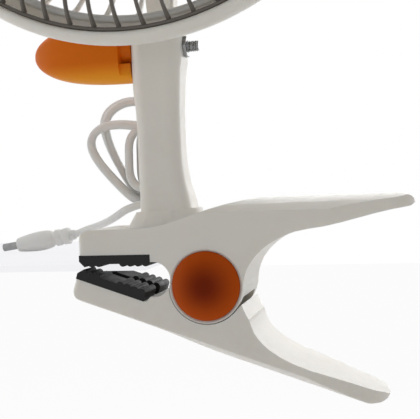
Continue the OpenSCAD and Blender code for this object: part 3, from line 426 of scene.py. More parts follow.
def catmull(points, steps):
    result = []
    for i in range(len(points) - 1):
        a, b, c, d = (points[min(max(i + k, 0), len(points) - 1)] for k in (-1, 0, 1, 2))
        for j in range(steps):
            t = j / steps
            near = 2 * b + (c - a) * t + (2 * a - 5 * b + 4 * c - d) * t * t
            result.append(0.5 * (near + (3 * b - a - 3 * c + d) * t ** 3))
    return result + [points[-1]]


def combine(piece, other, operation):
    step = piece.modifiers.new("combine", "BOOLEAN")
    step.operation = operation
    step.object = other
    step.solver = "EXACT"
    applied(piece)
    bpy.data.objects.remove(other)
    return piece


def cutAway(piece, *others):
    for other in others:
        combine(piece, other, "DIFFERENCE")


def rodAlongX(name, middle, r, x0, x1, around=40):
    def toPoint(a, b, along):
        return middle + Vector((along, a, b)) * mm
    return turned(name, [(0, x0), (r, x0), (r, x1), (0, x1)], around, toPoint)


def rodAlongY(name, middle, r, y0, y1, around=64):
    def toPoint(a, b, along):
        return middle + Vector((a, along, b)) * mm
    return turned(name, [(0, y0), (r, y0), (r, y1), (0, y1)], around, toPoint)


# the hank winds away from the post in small turns and comes back round them in wide ones
cord = {
    "diameter": 3.2, "pitch": 3.4, "firstTurn": 24.6, "shift": -1.4, "stations": 15, "smoothing": 12,
    "between": 5, "bevelSteps": 3,
    "start": [(16.5, 13, 57), (16.5, 16, 57), (16.3, 18.8, 56), (15.2, 20.6, 53.4), (12.4, 21.5, 50),
              (8.9, 22.8, 46.4)],
    "inner": [(-5.2, 50.8), (-6.2, 51.4), (-2.6, 52), (-3.2, 52.8), (-4.2, 53.6)],  # left side and top
    "innerRight": 7.4, "innerBottom": 26.6,
    "outer": [  # shape, widening, lift, shift across and up
        ("tall", 1.03, 0.6, 0, 0), ("tall", 1, 0, 0.2, 0.4), ("tall", 0.93, 0, 0.2, -0.6),
        ("leaning", 1.03, 0.8, 0, 0), ("leaning", 1, 0, 0, 0)],
    "outerRight": 11.6, "liftFrom": 20, "liftOver": 35, "turnGap": 2, "merging": 4, "settling": 0.4,
    "leaning": [(11.4, 43), (11.5, 35.5), (10, 26.8), (5, 21.2), (-1.5, 20.9), (-6.5, 24), (-12, 29.8),
                (-17.2, 35.6), (-20.7, 41), (-22, 45.6), (-20.3, 49.6), (-16, 52.1), (-9.5, 52.7),
                (-2, 51.6), (6.4, 49.6)],
    "tall": [(11.6, 46), (11.7, 37), (10, 27.6), (5, 21.8), (-1.5, 21.6), (-6.4, 24.3), (-10, 29.6),
             (-14, 36.3), (-17.2, 42.8), (-19.3, 49), (-20, 54.2), (-17.8, 58.8), (-12.2, 62), (-4, 63),
             (5, 57.8)],
    "lastHalf": [(10, -0.2, 43), (10.1, -0.9, 35.5), (7.8, -1.3, 27), (2.2, -1.5, 21.6)],
    "lead": [(-6.6, 23.6, 19.5), (-10.8, 27.5, 17.6), (-16.5, 33.5, 15.3), (-22.4, 41, 13.4),
             (-29.7, 50.5, 11.6), (-35.6, 57.3, 10.4), (-40.9, 61, 9.2), (-44, 62, 7.8), (-47.5, 61.9, 7.1)],
}


def innerTurn(left, top):  # an upright loop with round ends, from its right side downwards
    right, bottom, count = (cord[k] for k in ("innerRight", "innerBottom", "stations"))
    r = (right - left) / 2
    middle = (right + left) / 2
    straight = top - bottom - 2 * r
    around = 2 * straight + 2 * math.pi * r
    result = []
    for i in range(count):
        a = i / count * around - straight / 2
        if a < 0:
            result.append((right, bottom + r - a))
        elif a < math.pi * r:
            result.append((middle + r * math.cos(a / r), bottom + r - r * math.sin(a / r)))
        elif a < math.pi * r + straight:
            result.append((left, bottom + r + a - math.pi * r))
        elif a < 2 * math.pi * r + straight:
            turn = (a - math.pi * r - straight) / r
            result.append((middle - r * math.cos(turn), top - r + r * math.sin(turn)))
        else:
            result.append((right, top - r - (a - 2 * math.pi * r - straight)))
    return result


def outerTurn(kind, widen, lift, across, up):
    right, start, over = (cord[k] for k in ("outerRight", "liftFrom", "liftOver"))
    return [(right - (right - x) * widen + across, z + lift * (z - start) / over + up)
            for x, z in cord[kind]]


def cordRoute():
    inner = [innerTurn(left, top) for left, top in cord["inner"]]
    outer = [outerTurn(*shape) for shape in cord["outer"]]
    pitch, first, count, merging = (cord[k] for k in ("pitch", "firstTurn", "stations", "merging"))
    points = [Vector(p) for p in cord["start"]]
    for turn, shape in enumerate(inner):
        for i, (x, z) in enumerate(shape):
            points.append(Vector((x + cord["shift"], first + pitch * (turn + i / count), z)))
    back = first + pitch * len(inner)
    for turn, shape in enumerate(outer):
        for i, (x, z) in enumerate(shape):
            y = back + cord["turnGap"] - pitch * (turn + i / count)
            if turn == 0 and i < merging:  # the last inner turn widens into the first outer one
                share = (i / merging) ** 2 * (3 - 2 * i / merging)
                x, z = (p * (1 - share) + q * share for p, q in zip(inner[-1][i], (x, z)))
                y = (1 - share) * (back + cord["settling"] * i) + share * y
            points.append(Vector((x + cord["shift"], y, z)))
    last = points[-1].y
    points += [Vector((x, last + y, z)) for x, y, z in cord["lastHalf"]]
    points += [Vector(p) for p in cord["lead"]]
    route = catmull(points, cord["between"])
    for _ in range(cord["smoothing"]):
        eased = [(a + 2 * b + c) / 4 for a, b, c in zip(route, route[1:], route[2:])]
        route = [route[0], *eased, route[-1]]
    return [p * mm for p in route]


def makeCord():
    route = cordRoute()
    data = bpy.data.curves.new("cord", "CURVE")
    data.dimensions = "3D"
    data.use_fill_caps = True
    data.bevel_depth = cord["diameter"] / 2 * mm
    data.bevel_resolution = cord["bevelSteps"]
    line = data.splines.new("POLY")
    line.points.add(len(route) - 1)
    for point, place in zip(line.points, route):
        point.co = (*place, 1)
    line.use_smooth = True
    piece = link(bpy.data.objects.new("cord", data))
    dress(piece, "clamp", "cordWhite", "cord_exit", "cord_hank", "cord_lead")
    length = sum((b - a).length for a, b in zip(route, route[1:]))
    print(f"cord: {length:.3f} m")
    return piece, route, length


cordPiece, cordPath, cordLength = makeCord()

tie = {
    "low": (2.4, 21.6), "high": (12.4, 45.1), "level": (38.2, 41.4), "wall": 0.9, "corner": 3.0,
    "cornerSteps": 6, "edge": 0.25,
}


def makeTie():  # a flat strap round the hidden side of the hank
    wall, corner, steps = (tie[k] for k in ("wall", "corner", "cornerSteps"))
    z0, z1 = tie["level"]
    outer = roundedBox(tie["low"], tie["high"], corner, steps)
    inner = roundedBox([v + wall for v in tie["low"]], [v - wall for v in tie["high"]], corner - wall, steps)
    rings = [[Vector((x * mm, y * mm, z * mm)) for x, y in ring]
             for ring, z in ((outer, z0), (outer, z1), (inner, z1), (inner, z0))]
    return dress(beveled(lofted("tie", rings, True), tie["edge"], 2), "clamp", "blackNylon", "cord_tie")


tiePiece = makeTie()
dress(softened("grommet", "cord_grommet", 0.4), "clamp", "cordWhite", "cord_grommet")
plugPiece = dress(softened("plugGrip", "plug_grip", 0.25, 2, 20, 50), "clamp", "cordWhite", "plug_grip")
barrelPiece = dress(softened("plugBarrel", "plug_barrel", 0.15, 2), "clamp", "zincSteelPaintedShade", "plug_barrel")
print("cord and plug made")

cap = {
    "radius": 11.8, "round": 0.2, "back": 14.4, "play": 0.02, "edge": 15.2, "lift": 0.25, "top": 18.7,
    "steps": 12, "around": 96,
}


def makeCap(name, node, side):
    def toPoint(a, b, along):
        return pivotMiddle + Vector((a, side * along, b)) * mm
    r, edge, steps = cap["radius"] - cap["round"], cap["edge"] + cap["lift"], cap["steps"]
    back = cap["back"] + cap["play"]
    dome = [(r * (1 - i / steps), edge + (cap["top"] - edge) * (1 - (1 - i / steps) ** 2))
            for i in range(steps + 1)]
    profile = [(0, back), (r + cap["round"], back), (r + cap["round"], cap["edge"]), *dome]
    dress(turned(name, profile, cap["around"], toPoint, 60), "clamp", "capOrangePaintedShade", node)


# outlines are (x, z) from the pivot's axis, and what is added ends "shy" of the side faces
clamp = {
    "earRadius": 12.9, "earOverlap": 1.3, "roomRadius": 11.3, "wallReach": 11.7,
    "wallArcs": ((-19, 2, 4), (4, 172, 32), (176, -19, 40)),  # from, to, steps
    "throat": (-18.5, 2.4, 6.1), "throatReach": 20,
    "padEnd": -19.45, "padInside": -15, "padLow": 6, "seat": 11.7,
    "under": [(30.8, 17.7), (20.3, 14.5), (13.7, 8), (12.95, 0)],  # curve between the handles
    "beyond": [(12.95, -8), (30, -8), (36, 12)],
    "face": 15, "shy": 0.01, "past": 17, "edge": 0.9, "edgeSteps": 4,
    "bossCut": 12.55, "recess": 12.0, "ringRoot": 0.1, "ringSink": 0.2, "ringShy": 0.02,
    "web": [(12.12, -6.5), (12.75, -8), (13.55, -9.7), (14.3, -11.3), (14.95, -12.8), (15.45, -14.4),
            (16.05, -15.95), (17.05, -17.55), (16.5, -18.6), (8, -15)],
    "webArc": (13.25, -62, -37, 8), "webEnd": [(11.2, -7.45), (11.6, -6.9)],
}


def bend(p0, p1, p2, p3, steps=16):  # cubic curve through its control points
    result = []
    for t in (i / steps for i in range(steps + 1)):
        weights = ((1 - t) ** 3, 3 * t * (1 - t) ** 2, 3 * t * t * (1 - t), t ** 3)
        result.append(tuple(sum(w * p[i] for w, p in zip(weights, (p0, p1, p2, p3))) for i in (0, 1)))
    return result


def prism(outline, half):  # an outline round the pivot, as deep on both sides
    rings = [[pivotMiddle + Vector((x, side * half, z)) * mm for x, z in outline] for side in (-1, 1)]
    return lofted("prism", rings)


def makeClampUpper():
    piece = fromSolid("clampUpper", "clamp_upper")
    ear, overlap, room = (clamp[k] for k in ("earRadius", "earOverlap", "roomRadius"))
    wall = [point for r, arc in zip((ear, ear + overlap, room), clamp["wallArcs"])
            for point in arcOf(0, 0, r, *arc)]
    combine(piece, prism(wall, clamp["wallReach"]), "UNION")  # closes the room between the two ears
    end, inside, seat, low = (clamp[k] for k in ("padEnd", "padInside", "seat", "padLow"))
    corner = [(end, seat), (end, low), (inside, low), (inside, seat)]
    combine(piece, prism(corner, clamp["face"] - clamp["shy"]), "UNION")
    x, z, r = clamp["throat"]
    reach = clamp["throatReach"]
    cutAway(piece, prism(bend(*clamp["under"]) + clamp["beyond"], clamp["past"]),
            rodAlongY("throat", pivotMiddle + Vector((x, 0, z)) * mm, r, -reach, reach))
    for side in (1, -1):
        low, high = sorted((side * cap["back"], side * clamp["past"]))
        cutAway(piece, rodAlongY("boss", pivotMiddle, clamp["bossCut"], low, high))
    piece = rounded(piece, clamp["edge"], clamp["edgeSteps"])
    r, wide = clamp["recess"], clamp["bossCut"] + clamp["ringRoot"]
    back, flush = cap["back"] - clamp["ringSink"], clamp["face"] - clamp["ringShy"]
    ring = [(r, back), (wide, back), (wide, flush), (r, flush)]
    for side in (1, -1):  # the cap's recess, narrower than the cut
        def toPoint(a, b, along):
            return pivotMiddle + Vector((a, side * along, b)) * mm
        combine(piece, turned("seat", ring, cap["around"], toPoint), "UNION")
    smoothFaces(piece.data, 42)
    return dress(piece, "clamp", "shellWhite", "clamp_upper")


def makeClampLower():  # its web rises beside the ears in one curve with the upper half
    piece = fromSolid("clampLower", "clamp_lower")
    web = clamp["web"] + arcOf(0, 0, *clamp["webArc"]) + clamp["webEnd"]
    combine(piece, prism(web, clamp["face"] - clamp["shy"]), "UNION")
    piece = rounded(piece, clamp["edge"], clamp["edgeSteps"])
    return dress(piece, "lower_jaw", "shellWhite", "clamp_lower")


makeClampUpper()
makeClampLower()
dress(softened("upperPads", "upper_pads", 0.25, 2), "clamp", "gripRubber", "upper_pads")
dress(softened("lowerPads", "lower_pads", 0.25, 2), "lower_jaw", "gripRubber", "lower_pads")
makeCap("pivotCapFront", "pivot_cap_front", -1)
makeCap("pivotCapRear", "pivot_cap_rear", 1)

post = {
    "levels": [  # height, left side, right side, depth
        (11, 8, 27.3, 20), (17, 8, 27, 19.6), (20.4, 7.9, 26.4, 19), (23.6, 7.8, 25.8, 18.2),
        (27.2, 7.6, 24.8, 17.4), (33, 7.35, 23.8, 16.6), (40, 7.3, 23.3, 16.2), (52.4, 7.15, 23.3, 16.2),
        (57.8, 6.8, 23.5, 16.4), (61.4, 6.5, 23.7, 16.8), (66, 6.5, 24, 17.2), (69, 6.5, 24.3, 17.5),
        (72.2, 6.5, 24.9, 17.6), (81.1, 6.5, 25, 17.6)],
    "corner": 5, "across": 9, "collarFoot": (16.2, 30.4, 26.5, 11), "collarTop": (17, 23.4, 20.6, 18.9),
    "squareness": 0.8, "slope": 2.6, "slot": 9.8, "slotFloor": 68.4, "wall": 1.4, "wallTop": 78.1,
    "boltHole": 2.05, "pocket": (6.6, 14.6), "pocketRadius": 4.16, "past": 20, "above": 5,
    "cordHole": (57, 3.65, 5.5, 15),  # height, radius, start and end
    "collarSteps": 72, "between": 4, "edge": 0.45,
}


def postRing(z, left, right, depth):  # a rectangle with round corners
    outline = roundedBox((left, -depth / 2), (right, depth / 2), post["corner"], post["across"])
    return [Vector((x, y, z)) * mm for x, y in outline]


def collarRing(middle, width, depth, z, steep=0):
    points = []
    count = post["collarSteps"]
    for a in (2 * math.pi * i / count for i in range(count)):
        x, y = (size / 2 * math.copysign(abs(v) ** post["squareness"], v)
                for size, v in ((width, math.cos(a)), (depth, math.sin(a))))
        points.append(Vector((middle + x, y, z + steep * x)) * mm)
    return points


def pocketRing(along):  # the nut's hexagon
    r = post["pocketRadius"]
    angles = [math.pi / 3 * i for i in range(6)]
    return [tiltMiddle + Vector((along, r * math.cos(a), r * math.sin(a))) * mm for a in angles]


def makePost():
    levels = catmull([Vector((z, left, right)) for z, left, right, _ in post["levels"]],
                     post["between"])
    depths = catmull([Vector((z, depth)) for z, _, _, depth in post["levels"]], post["between"])
    rings = [postRing(z, left, right, depth) for (z, left, right), (_, depth) in zip(levels, depths)]
    piece = lofted("postBody", rings)
    steep = math.tan(math.radians(post["slope"]))
    collar = lofted("collar", [collarRing(*post["collarFoot"]), collarRing(*post["collarTop"], steep)])
    combine(piece, collar, "UNION")
    combine(piece, fromSolid("seat", "clamp_upper"), "DIFFERENCE")
    top, depth = post["levels"][-1][0] + post["above"], post["levels"][-1][3]
    x, half, past = tiltMiddle.x / mm, post["slot"] / 2, post["past"]
    slotLow = (x - half, post["wall"] - depth / 2, post["slotFloor"])
    mouthLow = (x - half, -past, post["wallTop"])
    height, *hole = post["cordHole"]
    cutAway(piece, boxPiece("slot", Vector(slotLow) * mm, Vector((x + half, past, top)) * mm),
            boxPiece("mouth", Vector(mouthLow) * mm, Vector((x + half, 0, top)) * mm),
            rodAlongX("hole", tiltMiddle, post["boltHole"], -past, past),
            lofted("pocket", [pocketRing(along) for along in post["pocket"]]),
            rodAlongY("cordHole", Vector((x, 0, height)) * mm, *hole))
    return dress(rounded(piece, post["edge"], 3, 34, 40), "clamp", "shellWhite", "post")


makePost()
print("clamp made")

knob = {
    "face": -10.3, "length": 38.6, "height": 23.4, "thickness": 15, "fullness": 2.9, "tip": 0.02,
    "skirt": 4, "wall": 2, "hub": 5, "rows": 30, "around": 56, "past": 20, "margin": 1, "overlap": 0.1,
    "hollowStart": -0.05, "hollowRows": 3, "edge": 0.35,
}


def slotPoint(angle, height, thickness):  # round-ended slot outline
    r = thickness / 2
    half = (height - thickness) / 2
    c, s = math.cos(angle), math.sin(angle)
    return r * c, r * s + (half if s > 0 else -half if s < 0 else 0)


def knobSkin(inset=0.0, start=0.0, end=1.0, rows=knob["rows"]):
    count = knob["around"]
    rings = []
    for i in range(rows + 1):
        u = start + (end - start) * math.sin(math.pi / 2 * i / rows)
        share = max((1 - min(max(u, 0), 1) ** knob["fullness"]) ** 0.5, knob["tip"])
        size = [(knob[k] - 2 * inset) * share for k in ("height", "thickness")]
        outline = [slotPoint(2 * math.pi * (k + 0.5) / count, *size) for k in range(count)]
        x = knob["face"] - u * knob["length"]
        rings.append([tiltMiddle + Vector((x, y, z)) * mm for y, z in outline])
    return rings


def makeKnob():
    piece = lofted("tiltKnob", knobSkin())
    wall, skirt, margin = (knob[k] for k in ("wall", "skirt", "margin"))
    hollow = knobSkin(wall, knob["hollowStart"], skirt / knob["length"], knob["hollowRows"])
    combine(piece, lofted("hollow", hollow), "DIFFERENCE")
    face = tiltMiddle.x / mm + knob["face"]
    level, past = tiltMiddle.z / mm, knob["past"]
    low = Vector((face - skirt, -past, level - past)) * mm
    high = Vector((face + margin, -knob["thickness"] / 2 + wall + knob["overlap"], level + past)) * mm
    combine(piece, boxPiece("gap", low, high), "DIFFERENCE")
    hub = rodAlongX("hub", tiltMiddle, knob["hub"], knob["face"] - skirt - margin, knob["face"])
    combine(piece, hub, "UNION")
    beveled(piece, knob["edge"], 2, 40)
    smoothFaces(piece.data, 40)
    return dress(piece, "knob", "knobOrangePaintedLight", "tilt_knob")


makeKnob()


def newTree(name, inputs):
    tree = bpy.data.node_groups.new(name, "GeometryNodeTree")
    for label, kind in inputs.items():
        tree.interface.new_socket(label, in_out="INPUT", socket_type=f"NodeSocket{kind}")
    tree.interface.new_socket("Geometry", in_out="OUTPUT", socket_type="NodeSocketGeometry")
    return tree, tree.nodes.new("NodeGroupInput").outputs


def treeNode(tree, kind, inputs=None, **settings):  # an input is a socket to link, or a value
    node = tree.nodes.new(kind)
    for name, value in settings.items():
        setattr(node, name, value)
    for name, value in (inputs or {}).items():
        if isinstance(value, bpy.types.NodeSocket):
            tree.links.new(value, node.inputs[name])
        else:
            node.inputs[name].default_value = value
    return node.outputs[0] if node.outputs else None


def endTree(tree, given, geometry):
    plain = treeNode(tree, "GeometryNodeRealizeInstances", {0: geometry})
    finished = treeNode(tree, "GeometryNodeSetMaterial", {"Geometry": plain, "Material": given["Finish"]})
    treeNode(tree, "NodeGroupOutput", {0: finished})
    return tree


thread = {
    "pitch": 0.7, "core": 1.68, "ridge": 0.3, "from": 6.0, "to": 13.5, "head": -24, "end": 13.8,
    "stepsPerTurn": 24, "sides": 6,
}


def threadTree():
    tree, given = newTree("thread", {
        "Turns": "Float", "Radius": "Float", "Ridge": "Float", "Length": "Float", "Start": "Vector",
        "Finish": "Material"})
    helix = treeNode(tree, "GeometryNodeCurveSpiral", {
        "Resolution": thread["stepsPerTurn"], "Rotations": given["Turns"], "Start Radius": given["Radius"],
        "End Radius": given["Radius"], "Height": given["Length"]})
    section = treeNode(tree, "GeometryNodeCurvePrimitiveCircle", {
        "Resolution": thread["sides"], "Radius": given["Ridge"]})
    ridge = treeNode(tree, "GeometryNodeCurveToMesh", {
        "Curve": helix, "Profile Curve": section, "Fill Caps": True})
    along = treeNode(tree, "GeometryNodeTransform", {
        "Geometry": ridge, "Translation": given["Start"], "Rotation": (0, math.pi / 2, 0)})
    return endTree(tree, given, along)


def turnedCopiesTree():  # copies of the piece's mesh, evenly turned about the fan's axis
    tree, given = newTree("turned copies", {
        "Geometry": "Geometry", "Count": "Int", "First angle": "Float", "Middle": "Vector",
        "Finish": "Material"})

    def maths(operation, first, second):
        return treeNode(tree, "ShaderNodeMath", {0: first, 1: second}, operation=operation)

    share = maths("DIVIDE", treeNode(tree, "GeometryNodeInputIndex"), given["Count"])
    angle = maths("SUBTRACT", maths("MULTIPLY", share, -2 * math.pi), given["First angle"])
    euler = treeNode(tree, "ShaderNodeCombineXYZ", {"Y": angle})
    spin = treeNode(tree, "FunctionNodeEulerToRotation", {0: euler})
    points = treeNode(tree, "GeometryNodePoints", {"Count": given["Count"], "Position": given["Middle"]})
    copies = treeNode(tree, "GeometryNodeInstanceOnPoints", {
        "Points": points, "Instance": given["Geometry"], "Rotation": spin})
    return endTree(tree, given, copies)


def grown(piece, tree, values):  # runs a tree on the piece and keeps the plain mesh
    step = piece.modifiers.new(tree.name, "NODES")
    step.node_group = tree
    for item in tree.interface.items_tree:
        if item.in_out == "INPUT" and item.name in values:
            step[item.identifier] = values[item.name]
    return applied(piece)


threads = threadTree()
turnedCopies = turnedCopiesTree()


def makeBolt():
    rod = rodAlongX("rod", tiltMiddle, thread["core"], thread["head"], thread["end"])
    length = thread["to"] - thread["from"]
    ridge = grown(newPiece("ridge", [], []), threads, {
        "Turns": length / thread["pitch"], "Radius": thread["core"] * mm, "Ridge": thread["ridge"] * mm,
        "Length": length * mm, "Start": tiltMiddle + Vector((thread["from"] * mm, 0, 0)),
        "Finish": materials["zincSteelPaintedShade"]})
    return dress(joined("tiltBolt", [rod, ridge], 50), "knob", "zincSteelPaintedShade", "tilt_bolt")


nut = {"edge": 0.3, "turn": 30}


def makeNut():
    piece = softened("tiltNut", "tilt_nut", nut["edge"], 2)
    turn = Matrix.Rotation(math.radians(nut["turn"]), 4, "X")
    piece.data.transform(Matrix.Translation(tiltMiddle) @ turn @ Matrix.Translation(-tiltMiddle))
    return dress(piece, "clamp", "zincSteelPaintedShade", "tilt_nut")


makeBolt()
makeNut()
print("knob and bolt made")

# places are in millimetres from the fan's middle, z towards the front
guard = {
    "rim": 89.3, "round": 6.8, "wall": 1.8, "front": 34.5, "lip": 47, "back": -120,
    "frontDome": (88, 45.7, 24.3), "rearDome": (80.76, -20, 29.81),  # radius, height, level of its edge
    "roundness": 2.4, "frontRibs": 64, "frontEdge": 84.6, "firstRib": -0.35, "beside": 22,
    "bow": 2.6, "bowFrom": 60, "bowOver": 25, "ribWidth": 1.0, "ribDepth": 1.5, "squareness": 0.6,
    "flare": 0.4, "flareOver": 5, "rearRibs": 44, "rearStart": 30, "rearWidth": 1.5,
    "hub": (21, 31, 2.4, 0.6), "rearRing": (54, 56, 0.7),  # rings end with their corners' radius
    "edgeRing": ((79.3, 28.3), (81.2, 30.6), 0.7), "frontRing": ((84.1, 37), (85.5, 38.9), 0.65),
    "midRing": 52, "midHalf": 0.9, "midRound": 0.8, "cap": 25, "capRing": (23.7, 26.2, 0.7),
    "ringRise": 0.3, "plate": 24, "plateSink": 1.05, "capSink": 1.2,
    "around": {"rim": 216, "ring": 144, "plate": 96, "cap": 128}, "rimSteps": (34, 30, 6),
    "clips": 4, "clip": ((83.9, -4.5, 32.5), (85.4, 4.5, 38.5)),
    "capProfile": [(0, 0), (23.1, 0), (23.5, 0.4), (23.45, 1), (22.6, 1.5), (21.2, 1.75), (20.9, 1.55),
                   (20.3, 1.55), (20, 1.95), (16, 2.55), (10, 3.15), (5, 3.45), (0, 3.55)],
}


def fanPoint(x, y, z):
    return fanMiddle + Vector((x, -z, y)) * mm


def bareFanPoint(x, y, z):  # the same, with the fan's axis through the origin
    return Vector((x, -z, y)) * mm


def domeAt(shape, r):
    return shape[2] + shape[1] * math.sqrt(max(1 - (r / shape[0]) ** guard["roundness"], 0))


def ribRings(shape, start, end, beside, bow, width, steps=20, around=10):
    side = 1 if shape[1] > 0 else -1
    depth, over, square = guard["ribDepth"], guard["flareOver"], guard["squareness"]
    radii = [start + (end - start) * math.sin(math.pi / 2 * i / steps) for i in range(steps + 1)]
    aside = [beside + bow * max(0, (r - guard["bowFrom"]) / guard["bowOver"]) ** 2 for r in radii]
    path = [(math.sqrt(r * r - b * b), domeAt(shape, r)) for r, b in zip(radii, aside)]
    rings = []
    for i, (x, z) in enumerate(path):
        x0, z0 = path[max(i - 1, 0)]
        x1, z1 = path[min(i + 1, steps)]
        length = math.hypot(x1 - x0, z1 - z0)
        inX, inZ = side * (z1 - z0) / length, -side * (x1 - x0) / length
        near = max(0.0, (radii[i] - (end - over)) / over)
        half = width / 2 * (1 + guard["flare"] * near * near)  # it widens at its outer end
        ring = []
        for a in (2 * math.pi * k / around for k in range(around)):
            c, s = math.cos(a), math.sin(a)
            across = half * math.copysign(abs(c) ** square, c)
            deep = depth / 2 * (1 - math.copysign(abs(s) ** square, s))
            ring.append(bareFanPoint(x + inX * deep, aside[i] + across, z + inZ * deep))
        rings.append(ring)
    return rings


def copiesOf(piece, count, first, finishName):
    return grown(piece, turnedCopies, {
        "Count": count, "First angle": first, "Middle": fanMiddle, "Finish": materials[finishName]})


def fanRing(name, low, high, r):
    return turned(name, roundedBox(low, high, r, 3), guard["around"]["ring"], fanPoint)


def rimProfile():
    r, wall, lip, back = (guard[k] for k in ("round", "wall", "lip", "back"))
    x, y, middle = guard["rim"] - r, guard["front"], r - wall / 2
    angles = math.radians(back), math.radians(lip)
    endAt, startAt = ((x + middle * math.cos(a), y + middle * math.sin(a)) for a in angles)
    outside, inside, ends = guard["rimSteps"]
    return (arcOf(x, y, r, lip, back, outside)
            + arcOf(*endAt, wall / 2, back, back - 180, ends)[1:-1]
            + arcOf(x, y, r - wall, back, lip, inside)
            + arcOf(*startAt, wall / 2, lip + 180, lip, ends)[1:-1])


def makeRearGuard():
    dome, depth = guard["rearDome"], guard["ribDepth"]
    hub, hubEdge, hubDepth, hubCorner = guard["hub"]
    inside, outside, corner = guard["rearRing"]
    hubLevel, ringLevel = domeAt(dome, guard["rearStart"]), domeAt(dome, (inside + outside) / 2)
    shape = ribRings(dome, guard["rearStart"], dome[0], 0, 0, guard["rearWidth"])
    parts = [turned("rim", rimProfile(), guard["around"]["rim"], fanPoint),
             fanRing("hubRing", (hub, hubLevel), (hubEdge, hubLevel + hubDepth), hubCorner),
             fanRing("middleRing", (inside, ringLevel), (outside, ringLevel + depth), corner),
             fanRing("edgeRing", *guard["edgeRing"]),
             copiesOf(lofted("rearRibs", shape), guard["rearRibs"], 0, "shellWhite")]
    dress(joined("rearGuard", parts, 45), "head", "shellWhite", "rear_guard")


def frontRibs(name, start, first):
    edge, beside, bow, width = (guard[k] for k in ("frontEdge", "beside", "bow", "ribWidth"))
    shape = ribRings(guard["frontDome"], start, edge, beside, bow, width)
    return copiesOf(lofted(name, shape), guard["frontRibs"] // 2, first, "grilleGrey")


def makeFrontGrille():
    dome, depth = guard["frontDome"], guard["ribDepth"]
    reach, mid, half, midCorner = (guard[k] for k in ("cap", "midRing", "midHalf", "midRound"))
    step = 2 * math.pi / guard["frontRibs"]
    first = guard["firstRib"] * step
    seat, ringLevel = domeAt(dome, reach), domeAt(dome, mid)
    inside, outside, corner = guard["capRing"]
    under, over, edge = seat - depth, seat - guard["plateSink"], guard["plate"]
    plate = [(0, under), (edge, under), (edge, over), (0, over)]
    clip = newPiece("clip", *boxAt(*guard["clip"]))
    parts = [fanRing("frontRing", *guard["frontRing"]),
             fanRing("middleRing", (mid - half, ringLevel - depth), (mid + half, ringLevel), midCorner),
             fanRing("capRing", (inside, under), (outside, seat + guard["ringRise"]), corner),
             turned("capSeat", plate, guard["around"]["plate"], fanPoint),
             frontRibs("longRibs", reach, first),
             frontRibs("shortRibs", mid, first + step),
             copiesOf(clip, guard["clips"], math.pi / 4, "grilleGrey")]
    dress(joined("frontGrille", parts, 45), "head", "grilleGrey", "front_grille")
    profile = [(r, seat - guard["capSink"] + z) for r, z in guard["capProfile"]]
    piece = turned("grilleCap", profile, guard["around"]["cap"], fanPoint, 60)
    dress(piece, "head", "shellWhite", "grille_cap")


def boxAt(low, high):
    points = [bareFanPoint(x, y, z) for x, y, z in itertools.product(*zip(low, high))]
    return points, [(0, 1, 3, 2), (4, 6, 7, 5), (0, 4, 5, 1), (2, 3, 7, 6), (0, 2, 6, 4), (1, 5, 7, 3)]


makeRearGuard()
makeFrontGrille()
print("guards made")

blade = {
    "count": 5, "hub": 17, "sunk": 1.2, "tip": 71, "hubStart": 18.76, "hubLength": 18,
    "along": 26, "across": 14, "chord": (24, 22, 6), "belly": 150, "rounding": 0.72, "tipWidth": 0.42,
    "pitch": (34, 18), "camber": 0.16, "sweep": 24, "level": 0.6,
    "thickness": 1.8, "taper": 0.4, "edge": 0.3, "lastRow": 0.4, "spacing": 0.9, "around": 96,
    "bellyPower": 0.9, "tipPower": 2.4, "edgePower": 6,
    "hubProfile": [(1.5, 17.4), (6, 17.4), (6.6, 18), (15, 18), (16.3, 17.5), (17, 16.4), (17, 0.3),
                   (16.7, 0), (15.2, 0), (15, 0.3), (15, 16), (4.5, 16), (4.5, 0), (1.5, 0)],
}


def bladePoint(u, v, side):  # u runs from root to tip, v from edge to edge
    r = blade["hub"] - blade["sunk"] + (blade["tip"] - blade["hub"] + blade["sunk"]) * u
    root, belly, gain = blade["chord"]
    chord = root + belly * math.sin(math.radians(blade["belly"] * u ** blade["bellyPower"])) + gain * u
    past = max(0.0, (u - blade["rounding"]) / (1 - blade["rounding"]))
    least = blade["tipWidth"]
    width = chord * (least + (1 - least) * math.sqrt(max(0, 1 - past ** blade["tipPower"]))) * v
    steepest, easing = blade["pitch"]
    pitch = math.radians(steepest - easing * u)
    camber = (0.25 - v * v) * blade["camber"] * chord
    x = width * math.cos(pitch) - camber * math.sin(pitch)
    z = camber * math.cos(pitch) - width * math.sin(pitch)
    angle = math.radians(blade["sweep"] * u * u) + x / r
    swell = max(blade["edge"], math.sqrt(max(0, 1 - (2 * abs(v)) ** blade["edgePower"])))
    half = blade["thickness"] / 2 * (1 - blade["taper"] * u) * swell
    if u == 1:
        half *= blade["lastRow"]
    level = blade["hubStart"] + blade["level"] * blade["hubLength"]
    return bareFanPoint(r * math.cos(angle), r * math.sin(angle), level + z + side * half)


def makeBlade():
    n, m = blade["along"], blade["across"]
    row = m + 1
    count = (n + 1) * row
    points = [bladePoint((i / n) ** blade["spacing"], j / m - 0.5, side)
              for side in (1, -1) for i in range(n + 1) for j in range(row)]
    faces = []
    for a in (i * row + j for i in range(n) for j in range(m)):
        faces += [(a, a + 1, a + row + 1, a + row),
                  (count + a, count + a + row, count + a + row + 1, count + a + 1)]
    edge = [*range(row), *(i * row + m for i in range(1, n + 1)),
            *(n * row + j for j in range(m - 1, -1, -1)), *(i * row for i in range(n - 1, 0, -1))]
    faces += [(a, b, count + b, count + a) for a, b in zip(edge, edge[1:] + edge[:1])]
    vanes = copiesOf(newPiece("vane", points, faces, 70), blade["count"], 0.0, "bladeWhite")
    profile = [(r, blade["hubStart"] + z) for r, z in blade["hubProfile"]]
    piece = joined("fanBlade", [vanes, turned("hub", profile, blade["around"], fanPoint, 50)], 50)
    return dress(piece, "rotor", "bladeWhite", "fan_blade")


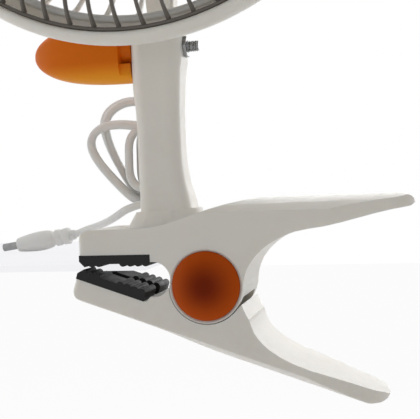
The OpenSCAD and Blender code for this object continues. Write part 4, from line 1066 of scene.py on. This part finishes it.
makeBlade()
dress(softened("bladeNut", "blade_nut", 0.4, 3), "rotor", "accentOrange", "blade_nut")
print("blade made")

# outlines are (up, towards the front) from the fan's middle
housing = {
    "tongueRadius": 6.6, "tongueMiddle": -85.2, "tongueTop": (-71, 3),
    "around": [(-79.2, -6.6), (-71, -8), (-71, -12), (-97, -12), (-97, 20), (-71, 20)],
    "stem": [(-71.5, 3), (-42, 5), (-31.5, 6.6), (-31.5, 20), (-71.5, 20)], "half": 14, "edge": 0.5,
}


def fanPrism(outline, half):
    return lofted("outside", [[fanPoint(side * half, y, z) for y, z in outline] for side in (-1, 1)])


def makeHousingBase():  # its tongue is slim enough to swing behind the fork's front
    piece = fromSolid("housingBase", "housing_base")
    r, middle, top, half = (housing[k] for k in ("tongueRadius", "tongueMiddle", "tongueTop", "half"))
    arc = arcOf(middle, 0, r, math.degrees(math.asin(top[1] / r)), -90, 16)
    outline = [top, *arc, *housing["around"]]
    cutAway(piece, fanPrism(outline, half), fanPrism(housing["stem"], half))
    return dress(rounded(piece, housing["edge"]), "head", "shellWhite", "housing_base")


makeHousingBase()
smallPieces = {  # node: name, body, finish, width of the soft edge
    "housing_cover": ("housingCover", "head", "shellWhite", 0.5),
    "switch_body": ("switchBezel", "head", "blackNylon", 0.5),
    "switch_rocker": ("switchRocker", "rocker", "switchRed", 0.6),
    "guard_screws": ("guardScrews", "head", "zincSteelPaintedShade", 0.25),
    "housing_screws": ("housingScrews", "head", "zincSteelPaintedShade", 0.25),
    "post_screw": ("postScrew", "clamp", "zincSteelPaintedShade", 0.25),
}
for node, (name, body, finishName, width) in smallPieces.items():
    dress(softened(name, node, width), body, finishName, node)

keptFinish = {
    "pivot_pin": "zincSteelPaintedShade", "clamp_spring": "zincSteelPaintedShade", "tilt_washers": "blackNylon",
    "motor_can": "zincSteelPaintedShade", "motor_endcap": "blackNylon", "motor_magnets": "magnetGrey",
    "bush_front": "bronze", "bush_rear": "bronze", "motor_armature": "winding",
    "motor_shaft": "zincSteelPaintedShade", "plug_liner": "blackNylon",
}
for node, finishName in keptFinish.items():
    nodes[node].data.materials.clear()
    nodes[node].data.materials.append(materials[finishName])

tuple(cordPath[0])

print("pieces ready")
